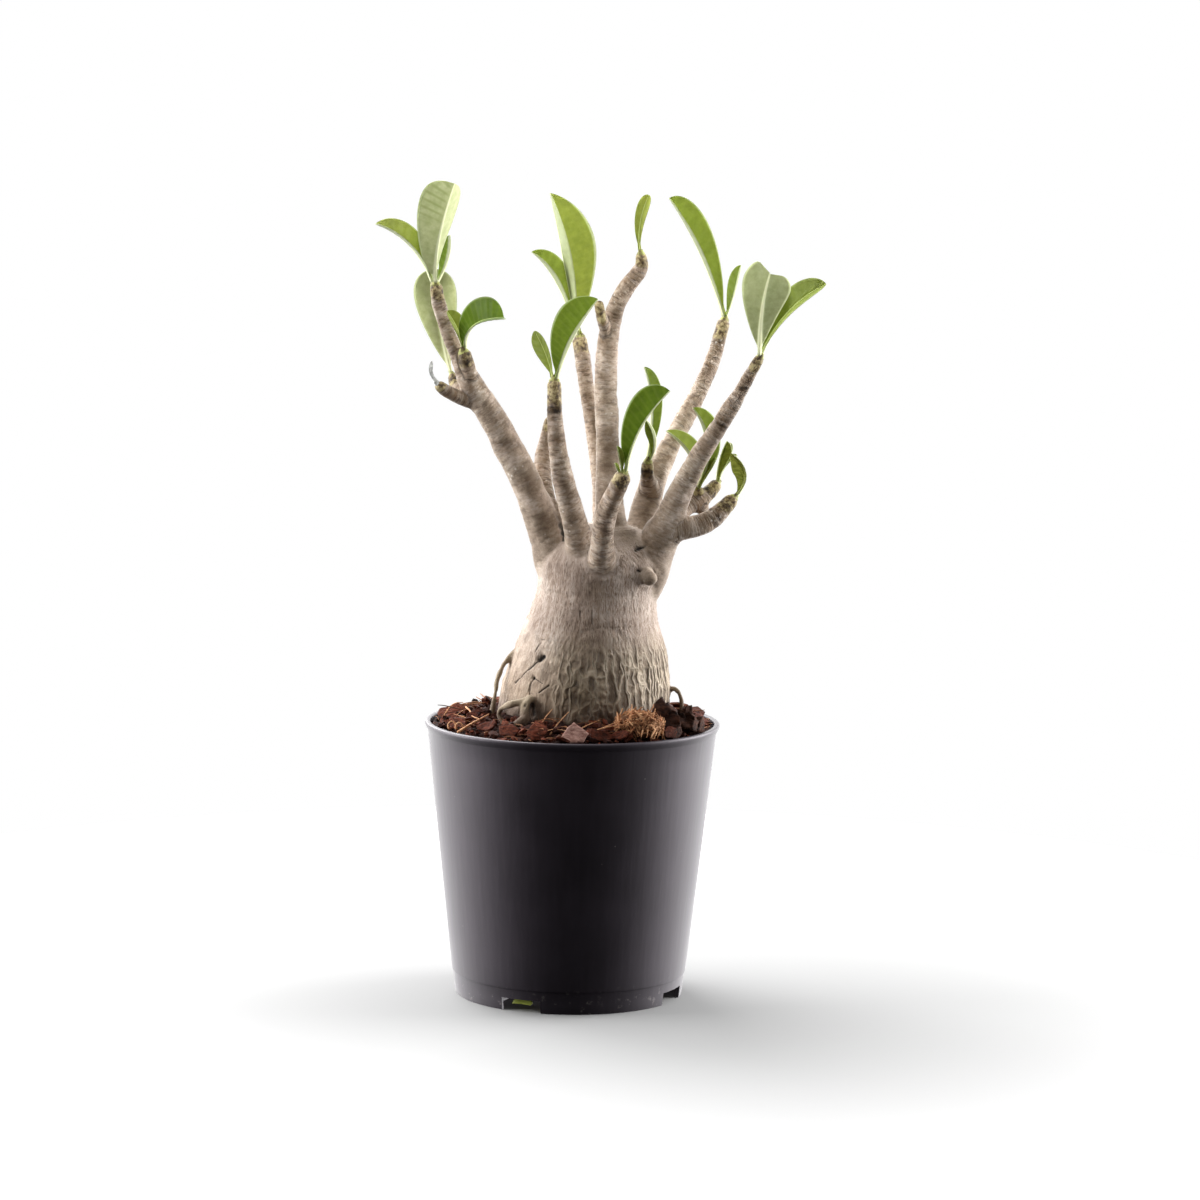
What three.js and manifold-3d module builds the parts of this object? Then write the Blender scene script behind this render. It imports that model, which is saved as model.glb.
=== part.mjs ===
// Potted desert rose: a swollen caudex with bare branches, tufts of young leaves at their tips, soil and a pot.
// Millimetres, +Z up. The pot's axis is x = 0, y = 0 inside the model and the front is -Y.
// The exported group is shifted so that its origin is the middle of the bounding box on the floor.

import * as THREE from 'three';
import { mergeVertices } from 'three/addons/utils/BufferGeometryUtils.js';
import Module from 'manifold-3d';

const wasm = await Module();
wasm.setup();

// Driving dimensions

const GAP = 0.3;                 // clearance between neighbouring pieces

const POT_RIM_RADIUS = 60;       // a 12 cm nursery pot
const POT_BASE_RADIUS = 46.3;
const POT_HEIGHT = 112;
const POT_WALL = 1.3;
const POT_LIP = 1.0;             // how far the rim band stands out of the wall
const POT_LIP_HEIGHT = 2.6;
const POT_STEP_HEIGHT = 9;       // mould line low on the wall
const POT_STEP = 0.4;
const POT_FLOOR = 3.4;           // underside of the raised floor
const POT_FLOOR_THICKNESS = 1.4;
const POT_SIDES = 60;
const NOTCH_WIDTH = 17;          // drain notches through the foot ring
const NOTCH_HEIGHT = 5.2;
const NOTCH_REACH = 17;          // how far a notch cuts in under the floor
const NOTCH_TURN = -24;          // degrees from the front, the others follow every 90

const SOIL_EDGE = 110.6;         // soil level at the pot wall
const SOIL_HEAP = 5.4;           // extra height against the caudex
const SOIL_RIPPLE = 0.9;
const CHIP_COUNT = 34;
const CHIP_SEED = 11;

const STEM_SIDES = 10;
const CAUDEX_SIDES = 24;
const HOLE_GROW = 0.35;          // clearance round what stands in the soil

const BLADE_THICKNESS = 0.7;
const KEEL_THICKNESS = 0.9;      // extra thickness along the midrib, at the stalk
const LARGE_LEAF = 11;           // a leaf wider than this gets the finer grid

// The caudex: height, centre x, radius across, radius front to back. It tapers off in the soil.
const CAUDEX = [
  [74, 4.5, 9, 9],
  [80, 4.6, 20, 20],
  [90, 4.7, 29, 28.5],
  [103, 4.8, 34, 33.5],
  [117, 4.8, 35.1, 34.5],
  [129, 5.6, 33.9, 33],
  [141, 7, 31.1, 29.5],
  [153.5, 7.3, 26.7, 25],
  [160, 8.1, 25.2, 23.5],
  [166, 9.4, 24.4, 22.5],
  [172, 10.8, 25.4, 22.5],
  [178, 11.4, 26.8, 22],
  [184, 11.8, 24.5, 18.5],
  [189, 11.6, 18, 13],
  [192.5, 11.4, 10, 7],
];

// Branches: points along each one, with the radius there. [x, y, z, radius]
const BRANCHES = {
  arm_left: [
    [-2, -2, 166, 9], [-6.7, -3, 175.8, 8.6], [-10.9, -4, 187.3, 7.1], [-17.6, -6, 204.4, 6.3],
    [-25.8, -7, 221.4, 6], [-35.7, -8, 239.1, 5.5], [-43, -9, 250.4, 4.6], [-47.5, -10, 260, 3.2],
    [-52, -11, 270.5, 3], [-55.3, -12, 280.5, 2.9], [-57.2, -13, 289.3, 2.7],
  ],
  stub_left: [[-36, -7.5, 239, 3.6], [-41.4, -9, 248, 3.6], [-44.2, -12, 257, 3.2], [-45.6, -14, 262.8, 2.8]],
  twig_left_back: [[-38, -8, 243, 2.8], [-44.7, -5, 246, 2.6], [-49, 1, 247.9, 2.4], [-50.5, 4, 251.7, 2.1]],
  twig_left_out: [
    [-36, -7, 240, 3.2], [-42.2, -8, 242.3, 3], [-48.1, -12, 244.9, 2.6],
    [-52.4, -15, 247.3, 2.4], [-55.4, -17, 249.6, 2],
  ],
  arm_hidden: [
    [-2, 0, 180, 5], [-11.1, 0, 200.2, 4], [-13.8, 7, 212.1, 3.7], [-12.8, 11, 223.6, 3.1], [-10.6, 13, 234.4, 2.6],
  ],
  arm_front_left: [
    [7, -8, 170, 7], [3.8, -12, 181.1, 6.4], [0.9, -16, 191.7, 5.4], [-2.7, -19, 204.1, 4.8],
    [-5.9, -22, 216.8, 4.2], [-7.8, -24, 229, 3.6], [-8.6, -25, 240.3, 3.1], [-9, -26, 252.7, 2.8],
  ],
  arm_back: [
    [13, 8, 171, 6.5], [12.6, 12, 181.7, 6.1], [11.2, 17, 194.6, 4.5], [9.8, 20, 208.7, 3.7],
    [7.9, 23, 222.7, 3.4], [5.2, 26, 238, 3.3], [2.5, 29, 253, 3.3], [0.6, 31, 266.3, 2.9],
  ],
  arm_centre: [
    [14.5, 0, 170, 9], [14.7, 0, 183.1, 8.1], [13.8, 2, 200.4, 5.9], [12.9, 3, 218.6, 4.9],
    [12.2, 4, 234.8, 4.7], [11.6, 5, 250.9, 4.5], [11.8, 5, 263.1, 4.2], [13.2, 5, 273.2, 3.8],
    [15.5, 4, 281.4, 3.6], [19.4, 3, 288.4, 3.5], [23, 2, 293.5, 3.2], [25, 1, 297.4, 2.7], [24.8, 0, 301.9, 2.3],
  ],
  twig_centre: [[12, 5, 261, 2.8], [11.7, 4, 269.2, 2.8], [9.5, -1, 276.8, 2.3], [8.1, -3, 282.9, 1.9]],
  arm_front: [
    [11, -13, 172, 6], [11.1, -20, 180.6, 5.2], [11.2, -26, 189.4, 4.5], [12.6, -31, 200.4, 4],
    [15.8, -34.5, 209.2, 3.6], [19.1, -37, 216.7, 3.2],
  ],
  arm_back_right: [
    [23, 2, 167, 9], [24.9, 6, 176.8, 8.1], [26.4, 11, 186.5, 6.3], [28.7, 15, 198, 5.9],
    [31.8, 18, 209.2, 5.3], [36.2, 21, 219.3, 4.4], [41.8, 24, 229.8, 3.9], [47.4, 27, 240.3, 3.6],
    [52.6, 30, 251.2, 3.3], [56.9, 33, 262.5, 3], [59.8, 35, 273.9, 2.5],
  ],
  stub_back_right: [[29, 16, 198, 4.6], [30.2, 14, 204.7, 4.2], [29, 9, 212.6, 2.8], [29.1, 7, 217.7, 2.4]],
  arm_right: [
    [25, -2, 167, 9.5], [29.7, -5, 175.8, 8.9], [34.4, -8, 187.6, 6.9], [38.6, -11, 199, 5.6],
    [42.8, -13, 209.4, 4.9], [47.8, -15, 219.3, 4.3], [53.2, -17, 228.7, 3.7], [58.5, -19, 237.8, 3.4],
    [64.1, -21, 247, 3], [68.8, -23, 256.1, 2.5], [72.5, -24, 263, 2.2],
  ],
  twig_right_low: [
    [34, -8, 190, 5.6], [41.5, -10, 192.8, 5.2], [47.1, -10, 193.3, 4.4], [52.8, -9, 195.3, 4.2],
    [57.2, -8, 198.3, 3.8], [60.7, -7, 201.7, 3.3], [63.7, -6, 204.7, 2.6],
  ],
  twig_right_back: [
    [33, -4, 191, 5], [40, 2, 195.9, 4.1], [45.3, 8, 199, 3.1], [50.2, 11, 202.1, 3],
    [54.3, 13, 205.2, 2.9], [57.3, 14, 208.4, 2.4],
  ],
  stub_right_back: [[51.4, 11.5, 198.5, 2.6], [50.6, 11, 201.2, 2.4], [49.4, 10, 206.5, 2]],
  cut_knob: [[25, -10, 177, 3.6], [26.8, -14, 175.2, 3.4], [31.9, -19, 172.9, 2.8]],
};

// Thin roots that leave the caudex above the soil and bend down into it
const ROOTS = {
  root_left: [
    [-17, 0, 144, 1.5], [-22.9, -2, 141, 1.3], [-27.8, -5, 135.9, 1], [-30.1, -8, 130.9, 0.9],
    [-31, -11, 126.2, 0.9], [-31.8, -13, 121.2, 0.9], [-32.6, -15, 115, 1.1], [-33.1, -16, 108, 0.9],
  ],
  root_loop_top: [
    [-15, -22, 124, 1.8], [-18.1, -27, 123.8, 1.8], [-23.3, -27.5, 122.9, 1.4], [-28.4, -22.5, 120, 1.2],
    [-29.4, -22, 117.6, 1.25], [-27.6, -24, 114.4, 1.35], [-25, -26, 109, 1.1],
  ],
  root_loop_low: [
    [-15.5, -23, 124.5, 2], [-17.9, -28.5, 123.2, 2.1], [-18.6, -30.5, 120.6, 2.3], [-18.3, -32, 117.6, 2.4],
    [-20.8, -34, 116, 1.8], [-24.6, -35, 114, 1.4], [-28, -35, 111, 1],
  ],
  root_right: [
    [35, 0, 124, 1], [38.8, 0, 124.9, 0.9], [40.8, -1, 126.1, 0.8], [43, -2, 124.8, 0.8],
    [44.1, -3, 121.7, 0.8], [44.4, -4, 116.9, 0.8], [44.4, -4.5, 109, 0.8],
  ],
};

// Leaf tufts, one for each leafy tip. A leaf runs from base through bend to tip along its midrib.
// turn: degrees about the midrib, 0 shows the upper face to the front, 180 the underside.
// fold: degrees that each half rises out of flat. fullness, point: roundness of the outline and sharpness of its end.
const TUFTS = {
  leaves_left_tip: {
    stem: 'arm_left',
    leaves: [
      { base: [-57.3, -13.9, 290.8], bend: [-55.9, -20, 308], tip: [-49.7, -22, 330.2],
        width: 24, turn: 225, fold: 25, fullness: 7, point: 0.4 },
      { base: [-58.2, -13, 290.5], bend: [-67, -15, 304.8], tip: [-81.3, -14, 313.3],
        width: 13.5, turn: 62, fold: 38, fullness: 2.4, point: 0.7 },
      { base: [-56.9, -11.9, 290.3], bend: [-52.6, -5, 300.1], tip: [-52, -2, 308.8],
        width: 9, turn: -62, fold: 40, fullness: 3, point: 0.6 },
    ],
  },
  leaf_left_back: {
    stem: 'twig_left_back',
    leaves: [
      { base: [-51.2, 5, 252.8], bend: [-56, 8, 273.1], tip: [-59.1, 10, 294.4],
        width: 18, turn: 188, fold: 14, fullness: 5, point: 0.5 },
    ],
  },
  leaves_left_stub: {
    stem: 'stub_left',
    leaves: [
      { base: [-45.3, -14, 264.3], bend: [-41.3, -22, 274.2], tip: [-29.5, -20, 277.2],
        width: 19, turn: -54, fold: 36, fullness: 5, point: 0.5 },
      { base: [-46.1, -14, 264.2], bend: [-47.9, -16, 271.7], tip: [-52.3, -17, 279.3],
        width: 8, turn: 40, fold: 35, fullness: 3, point: 0.6 },
    ],
  },
  withered_leaf_left: {
    stem: 'twig_left_out',
    withered: true,
    leaves: [
      { base: [-55.6, -17, 250.2], bend: [-58.8, -18, 254.9], tip: [-58.1, -17, 259.2],
        width: 2.6, turn: 120, fold: 50, fullness: 2, point: 0.6 },
    ],
  },
  leaves_front_left: {
    stem: 'arm_front_left',
    leaves: [
      { base: [-8.3, -26.8, 254], bend: [-2.2, -33, 270], tip: [7.9, -38, 286.3],
        width: 21, turn: -54, fold: 43, fullness: 2.6, point: 0.7 },
      { base: [-9.7, -25.3, 254], bend: [-12.5, -22, 262.7], tip: [-17.3, -18, 271.9],
        width: 7.5, turn: -20, fold: 35, fullness: 3, point: 0.7 },
    ],
  },
  leaves_back: {
    stem: 'arm_back',
    leaves: [
      { base: [0.1, 29.8, 267.4], bend: [-5.9, 24, 296.9], tip: [-12.3, 20, 325.4],
        width: 29, turn: 62, fold: 42, fullness: 2, point: 0.8 },
      { base: [-0.5, 31, 267.4], bend: [-8.7, 28, 288.1], tip: [-19.6, 24, 301.2],
        width: 14, turn: 62, fold: 42, fullness: 2.4, point: 0.8 },
    ],
  },
  leaf_centre_tip: {
    stem: 'arm_centre',
    leaves: [
      { base: [24.6, 0, 303.1], bend: [24.2, -1, 314.4], tip: [27.6, 0, 326],
        width: 6.4, turn: -12, fold: 38, fullness: 5, point: 0.5 },
    ],
  },
  leaves_front: {
    stem: 'arm_front',
    leaves: [
      { base: [19.8, -37.8, 218], bend: [25.2, -44, 235.7], tip: [36.8, -46, 251.1],
        width: 18.5, turn: -52, fold: 43, fullness: 3.6, point: 0.55 },
      { base: [18.3, -37.8, 217.8], bend: [17.6, -40, 223.3], tip: [16.3, -41, 228.6],
        width: 4, turn: 30, fold: 50, fullness: 2, point: 0.6 },
      { base: [17.8, -37, 217.1], bend: [16.4, -38, 219.5], tip: [15.6, -39, 221.6],
        width: 2.6, turn: 60, fold: 30, fullness: 2, point: 0.6 },
    ],
  },
  leaves_back_right_stub: {
    stem: 'stub_back_right',
    leaves: [
      { base: [29.9, 6.3, 218.7], bend: [31.8, 3, 227.9], tip: [28, 0, 235.4],
        width: 7, turn: -58, fold: 46, fullness: 2.4, point: 0.7 },
      { base: [29.1, 8, 218.7], bend: [30.4, 9, 238.7], tip: [26.9, 12, 255.9],
        width: 10, turn: 55, fold: 42, fullness: 3, point: 0.6 },
    ],
  },
  leaves_back_right: {
    stem: 'arm_back_right',
    leaves: [
      { base: [59.7, 34.4, 275.3], bend: [49.9, 28, 300.4], tip: [36, 22, 324],
        width: 17, turn: 55, fold: 43, fullness: 3.4, point: 0.55 },
      { base: [60.5, 35, 275.2], bend: [63.8, 37, 285.4], tip: [66.3, 38, 296.4],
        width: 7.5, turn: -52, fold: 48, fullness: 3, point: 0.6 },
    ],
  },
  leaves_right_tip: {
    stem: 'arm_right',
    leaves: [
      { base: [72.5, -24.6, 264.5], bend: [72.8, -31, 281.7], tip: [75.6, -32, 296.8],
        width: 19.8, turn: 180, fold: 10, fullness: 7, point: 0.35, notch: 4.5 },
      { base: [73.1, -23.5, 264.3], bend: [83.2, -20, 280.8], tip: [98.6, -18, 292.5],
        width: 13.5, turn: -46, fold: 34, fullness: 3.2, point: 0.6 },
    ],
  },
  leaves_low_back: {
    stem: 'stub_right_back',
    leaves: [
      { base: [49.7, 9, 207.4], bend: [52.9, 6, 224.7], tip: [46.9, 2, 240.4],
        width: 13, turn: 60, fold: 40, fullness: 2.4, point: 0.7 },
      { base: [48.7, 10, 207.2], bend: [47.1, 14, 218.5], tip: [36.4, 18, 229.4],
        width: 12.5, turn: 62, fold: 40, fullness: 2.4, point: 0.7 },
      { base: [50.2, 9, 207.2], bend: [53.5, 6, 214.1], tip: [56.6, 4, 220.4],
        width: 4, turn: -30, fold: 45, fullness: 2.4, point: 0.7 },
    ],
  },
  leaves_right_fork: {
    stem: 'twig_right_back',
    leaves: [
      { base: [57.6, 14, 209.8], bend: [58.5, 13, 218.4], tip: [61.2, 12, 226.3],
        width: 7.5, turn: 40, fold: 45, fullness: 3, point: 0.6 },
      { base: [58.3, 14, 209.5], bend: [60.3, 16, 214.8], tip: [65.6, 20, 219.8],
        width: 6.5, turn: -60, fold: 35, fullness: 3, point: 0.6 },
      { base: [58.1, 14.6, 209.4], bend: [60.6, 18, 218], tip: [63, 19, 224.9],
        width: 5, turn: 180, fold: 35, fullness: 3, point: 0.6 },
    ],
  },
  leaf_right_low: {
    stem: 'twig_right_low',
    leaves: [
      { base: [64.2, -6, 205.2], bend: [68.2, -6, 214.7], tip: [62.4, -5, 223],
        width: 10, turn: -50, fold: 36, fullness: 2.4, point: 0.7 },
    ],
  },
};

// Larger scraps that lie on the soil in front, each of one or more chips: middle, length, width, thickness,
// yaw, pitch and roll in degrees, and how far the top narrows
const SCRAPS = {
  bark_flake_front: [
    { at: [0.8, -51, 114.8], size: [12, 9.5, 1.9], turn: [0, 12, 55], taper: 1 },
  ],
  bark_chunk_right: [
    { at: [37.8, -31, 118.6], size: [11.5, 6.5, 15.5], turn: [-6, 0, -8], taper: 0.45 },
    { at: [43.6, -29.2, 117.2], size: [11, 7.5, 9.5], turn: [14, 8, -6], taper: 0.9 },
  ],
};
const COIR_TUFT = { at: [27, -43, 116.2], length: 18, width: 9, height: 5, strands: 9, radius: 0.8, seed: 5 };

const COLOURS = {
  pot: [0x2a282b, 0.5],
  soil: [0x4a3227, 0.95],
  bark: [0xb4a497, 0.85],
  leaf: [0x6f8f3a, 0.55],
  withered: [0x8d8a7c, 0.9],
  flake: [0x9a6f5c, 0.9],
  chunk: [0x35291f, 0.95],
  coir: [0x8f5a30, 0.95],
};

// Small helpers

const V = (values) => new THREE.Vector3(values[0], values[1], values[2]);

function random(seed) {
  // Park and Miller's generator: the same draws on every run
  let state = seed;
  return () => {
    state = (state * 16807) % 2147483647;
    return state / 2147483647;
  };
}

function geometryFrom(points, triangles) {
  const geometry = new THREE.BufferGeometry();
  const flat = points.flatMap((p) => [p.x, p.y, p.z]);
  geometry.setAttribute('position', new THREE.Float32BufferAttribute(flat, 3));
  geometry.setIndex(triangles);
  return geometry;
}

function solidFrom(source) {
  let geometry = source.clone();
  geometry.deleteAttribute('normal');
  geometry.deleteAttribute('uv');
  geometry = mergeVertices(geometry, 1e-4);
  const vertProperties = new Float32Array(geometry.attributes.position.array);
  const triVerts = new Uint32Array(geometry.index.array);
  return new wasm.Manifold(new wasm.Mesh({ numProp: 3, vertProperties, triVerts }));
}

function largestBody(solid) {
  const bodies = solid.decompose();
  bodies.sort((a, b) => b.volume() - a.volume());
  return bodies[0];
}

function joined(solids) {
  return solids.reduce((sum, solid) => sum.add(solid));
}

const group = new THREE.Group();

function addMesh(name, solid, colour) {
  const mesh = solid.getMesh();
  const geometry = new THREE.BufferGeometry();
  geometry.setAttribute('position', new THREE.BufferAttribute(new Float32Array(mesh.vertProperties), 3));
  geometry.setIndex(new THREE.BufferAttribute(new Uint32Array(mesh.triVerts), 1));
  const [color, roughness] = COLOURS[colour];
  const part = new THREE.Mesh(geometry, new THREE.MeshStandardMaterial({ color, roughness, metalness: 0 }));
  part.name = name;
  group.add(part);
}

// A closed surface through rings of equally many points, with a pole at each end
function loft(rings, startPole, endPole) {
  const sides = rings[0].length;
  const points = [...rings.flat(), startPole, endPole];
  const triangles = [];
  for (let i = 0; i + 1 < rings.length; i++) {
    for (let j = 0; j < sides; j++) {
      const a = i * sides + j;
      const b = i * sides + (j + 1) % sides;
      triangles.push(a, b, a + sides, b, b + sides, a + sides);
    }
  }
  const last = (rings.length - 1) * sides;
  const start = rings.length * sides;
  for (let j = 0; j < sides; j++) {
    const next = (j + 1) % sides;
    triangles.push(start, next, j);
    triangles.push(start + 1, last + j, last + next);
  }
  return geometryFrom(points, triangles);
}

// A round tube whose radius follows its route, with a low dome on the far end.
// Each ring keeps its turn from the one before it, so that the tube doesn't twist.
function taperedTube(route, sides, steps, grow = 0) {
  const curve = new THREE.CatmullRomCurve3(route.map(V), false, 'centripetal');
  const spans = route.length - 1;
  const count = spans * steps;
  const rings = [];
  let side = new THREE.Vector3(0, 1, 0);
  let direction;
  for (let i = 0; i <= count; i++) {
    const t = i / count;
    const middle = curve.getPoint(t);
    direction = curve.getTangent(t);
    side.addScaledVector(direction, -side.dot(direction)).normalize();
    const up = new THREE.Vector3().crossVectors(direction, side);
    const k = Math.min(Math.floor(t * spans), spans - 1);
    const radius = THREE.MathUtils.lerp(route[k][3], route[k + 1][3], t * spans - k) + grow;
    rings.push(ringOf(middle, side, up, radius, sides));
    if (i === count) {
      const dome = middle.clone().addScaledVector(direction, radius * 0.3);
      rings.push(ringOf(dome, side, up, radius * 0.7, sides));
    }
  }
  const end = V(route[spans]).addScaledVector(direction, (route[spans][3] + grow) * 0.45);
  return solidFrom(loft(rings, V(route[0]), end));
}

function ringOf(middle, side, up, radius, sides) {
  return Array.from({ length: sides }, (_, j) => {
    const angle = 2 * Math.PI * j / sides;
    return middle.clone()
      .addScaledVector(side, radius * Math.cos(angle))
      .addScaledVector(up, radius * Math.sin(angle));
  });
}

// A thin closed blade over a grid: rows along the midrib, columns across it, the same split on both faces.
// Half width at share u past the stalk: u^0.8 (1 - u^fullness)^point, scaled to peak at 1.
// At a notched tip the two halves run on past the midrib as lobes, the q > 0 one further.
function leafBlade(leaf, rows, columns) {
  const rise = 0.8;
  const stalk = 0.06;
  const widest = (rise / (rise + leaf.fullness * leaf.point)) ** (1 / leaf.fullness);
  const peak = widest ** rise * (1 - widest ** leaf.fullness) ** leaf.point;
  const base = V(leaf.base);
  const tip = V(leaf.tip);
  const control = V(leaf.bend).multiplyScalar(2).addScaledVector(base, -0.5).addScaledVector(tip, -0.5);
  const midrib = new THREE.QuadraticBezierCurve3(base, control, tip);
  const turn = THREE.MathUtils.degToRad(leaf.turn);
  const fold = THREE.MathUtils.degToRad(leaf.fold);
  const upper = [];
  const lower = [];
  for (let i = 0; i <= rows; i++) {
    const s = 1 - (1 - i / rows) ** 1.35;
    const u = THREE.MathUtils.clamp((s - stalk) / (1 - stalk), 0, 1);
    const share = Math.max(0.09, u ** rise * Math.max(0, 1 - u ** leaf.fullness) ** leaf.point / peak);
    const halfWidth = Math.max(0.55, share * leaf.width / 2);
    const middle = midrib.getPoint(s);
    const along = midrib.getTangent(s);
    const front = new THREE.Vector3(0, -1, 0);
    front.addScaledVector(along, -front.dot(along)).normalize();
    const aside = new THREE.Vector3().crossVectors(along, front);
    const normal = front.clone().multiplyScalar(Math.cos(turn)).addScaledVector(aside, Math.sin(turn));
    const across = front.clone().multiplyScalar(-Math.sin(turn)).addScaledVector(aside, Math.cos(turn));
    const runOn = (leaf.notch || 0) * THREE.MathUtils.clamp((s - 0.55) / 0.45, 0, 1) ** 2;
    for (let j = 0; j <= columns; j++) {
      const q = 2 * j / columns - 1;
      const away = (Math.abs(halfWidth * q) - 0.33 * leaf.width) / (0.21 * leaf.width);
      const lobe = runOn * (q > 0 ? 1 : 0.3) * Math.exp(-(away ** 2));
      const point = middle.clone()
        .addScaledVector(across, halfWidth * q * Math.cos(fold))
        .addScaledVector(normal, halfWidth * Math.abs(q) ** 1.15 * Math.sin(fold))
        .addScaledVector(along, lobe);
      const thickness = BLADE_THICKNESS + KEEL_THICKNESS * (1 - Math.abs(q)) * (1 - s);
      upper.push(point.clone().addScaledVector(normal, thickness / 2));
      lower.push(point.clone().addScaledVector(normal, -thickness / 2));
    }
  }
  return solidFrom(closedSheet(upper, lower, rows, columns));
}

function closedSheet(upper, lower, rows, columns) {
  const width = columns + 1;
  const offset = upper.length;
  const triangles = [];
  for (let i = 0; i < rows; i++) {
    for (let j = 0; j < columns; j++) {
      const a = i * width + j;
      const b = a + 1;
      const c = a + width;
      const d = c + 1;
      triangles.push(a, b, d, a, d, c);
      triangles.push(offset + a, offset + d, offset + b, offset + a, offset + c, offset + d);
    }
  }
  const rim = [];
  for (let j = 0; j < columns; j++) rim.push(j);
  for (let i = 0; i < rows; i++) rim.push(i * width + columns);
  for (let j = columns; j > 0; j--) rim.push(rows * width + j);
  for (let i = rows; i > 0; i--) rim.push(i * width);
  rim.forEach((a, k) => {
    const b = rim[(k + 1) % rim.length];
    triangles.push(a, offset + a, offset + b, a, offset + b, b);
  });
  return geometryFrom([...upper, ...lower], triangles);
}

// Pot: one moulded shell with a raised floor and four drain notches in its foot ring

function potRadius(height) {
  return THREE.MathUtils.lerp(POT_BASE_RADIUS, POT_RIM_RADIUS - POT_LIP, height / POT_HEIGHT);
}

function makePot() {
  const lipBase = POT_HEIGHT - POT_LIP_HEIGHT;
  const floorTop = POT_FLOOR + POT_FLOOR_THICKNESS;
  const profile = [
    [0, POT_FLOOR],
    [potRadius(POT_FLOOR) - POT_WALL, POT_FLOOR],
    [potRadius(0) - POT_WALL, 0],
    [potRadius(0), 0],
    [potRadius(POT_STEP_HEIGHT), POT_STEP_HEIGHT],
    [potRadius(POT_STEP_HEIGHT) + POT_STEP, POT_STEP_HEIGHT + POT_STEP],
    [potRadius(60) + POT_STEP, 60],
    [potRadius(lipBase) + POT_STEP * 0.5, lipBase],
    [POT_RIM_RADIUS, lipBase + 0.4],
    [POT_RIM_RADIUS, POT_HEIGHT - 0.5],
    [POT_RIM_RADIUS - 0.4, POT_HEIGHT],
    [POT_RIM_RADIUS - POT_LIP - POT_WALL, POT_HEIGHT],
    [potRadius(floorTop) - POT_WALL, floorTop],
    [0, floorTop],
  ];
  const shell = new THREE.LatheGeometry(profile.map(([r, z]) => new THREE.Vector2(r, z)), POT_SIDES);
  shell.rotateX(Math.PI / 2);
  let pot = solidFrom(shell);
  for (let k = 0; k < 4; k++) {
    const notch = new THREE.BoxGeometry(NOTCH_WIDTH, NOTCH_REACH, NOTCH_HEIGHT * 2);
    notch.translate(0, -(POT_BASE_RADIUS + 3 - NOTCH_REACH / 2), 0);
    notch.rotateZ(THREE.MathUtils.degToRad(NOTCH_TURN + 90 * k));
    pot = pot.subtract(solidFrom(notch));
  }
  return pot;
}

// Soil: a bed that fills the pot, heaped against the caudex, with bark chips fused into its surface

function soilHeight(x, y) {
  const r = Math.hypot(x, y);
  const heap = SOIL_HEAP * Math.exp(-(((Math.max(r, 34) - 34) / 13) ** 2));
  const ripple = Math.sin(x * 0.31 + 1.3) * Math.cos(y * 0.27) + 0.6 * Math.sin(x * 0.13 - y * 0.41);
  return SOIL_EDGE + heap + SOIL_RIPPLE * ripple;
}

function makeSoilBed() {
  const sides = 40;
  const bottom = POT_FLOOR + POT_FLOOR_THICKNESS + GAP;
  const wall = (z) => potRadius(z) - POT_WALL - GAP;
  const ringAt = (radius, height) => Array.from({ length: sides }, (_, j) => {
    const angle = 2 * Math.PI * j / sides;
    const x = radius * Math.cos(angle);
    const y = radius * Math.sin(angle);
    return new THREE.Vector3(x, y, height === undefined ? soilHeight(x, y) : height);
  });
  const rings = [ringAt(wall(bottom), bottom), ringAt(wall(SOIL_EDGE - 3), SOIL_EDGE - 3)];
  for (const radius of [56.6, 52.5, 48, 43.5, 39, 34, 26]) {
    rings.push(ringAt(radius));
  }
  return solidFrom(loft(rings, new THREE.Vector3(0, 0, bottom), new THREE.Vector3(0, 0, soilHeight(0, 0))));
}

// A chip: two irregular rings of points, top and bottom, the top one narrowed by its taper
function chipSolid(draw, size, turn, at, taper = 1, grow = 0) {
  const sides = 6;
  const rings = [-1, 1].map((end) => Array.from({ length: sides }, (_, j) => {
    const angle = 2 * Math.PI * (j + 0.5 * draw()) / sides;
    const reach = (0.8 + 0.2 * draw()) * (end > 0 ? taper : 1);
    return new THREE.Vector3(
      (size[0] / 2 * reach + grow) * Math.cos(angle),
      (size[1] / 2 * reach + grow) * Math.sin(angle),
      end * (size[2] / 2 + grow),
    );
  }));
  const height = size[2] / 2 * 1.15 + grow;
  const chip = loft(rings, new THREE.Vector3(0, 0, -height), new THREE.Vector3(0, 0, height));
  const angles = turn.map(THREE.MathUtils.degToRad);
  chip.rotateX(angles[2]);
  chip.rotateY(angles[1]);
  chip.rotateZ(angles[0]);
  chip.translate(at[0], at[1], at[2]);
  return solidFrom(chip);
}

function makeChips() {
  const draw = random(CHIP_SEED);
  return Array.from({ length: CHIP_COUNT }, () => {
    const angle = 2 * Math.PI * draw();
    const radius = 38.5 + 13 * draw();
    const x = radius * Math.cos(angle);
    const y = radius * Math.sin(angle);
    const size = [5 + 5 * draw(), 3 + 2.5 * draw(), 2 + 1.6 * draw()];
    const turn = [360 * draw(), 36 * draw() - 18, 40 * draw() - 20];
    return chipSolid(draw, size, turn, [x, y, soilHeight(x, y) + 0.3]);
  });
}

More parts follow.
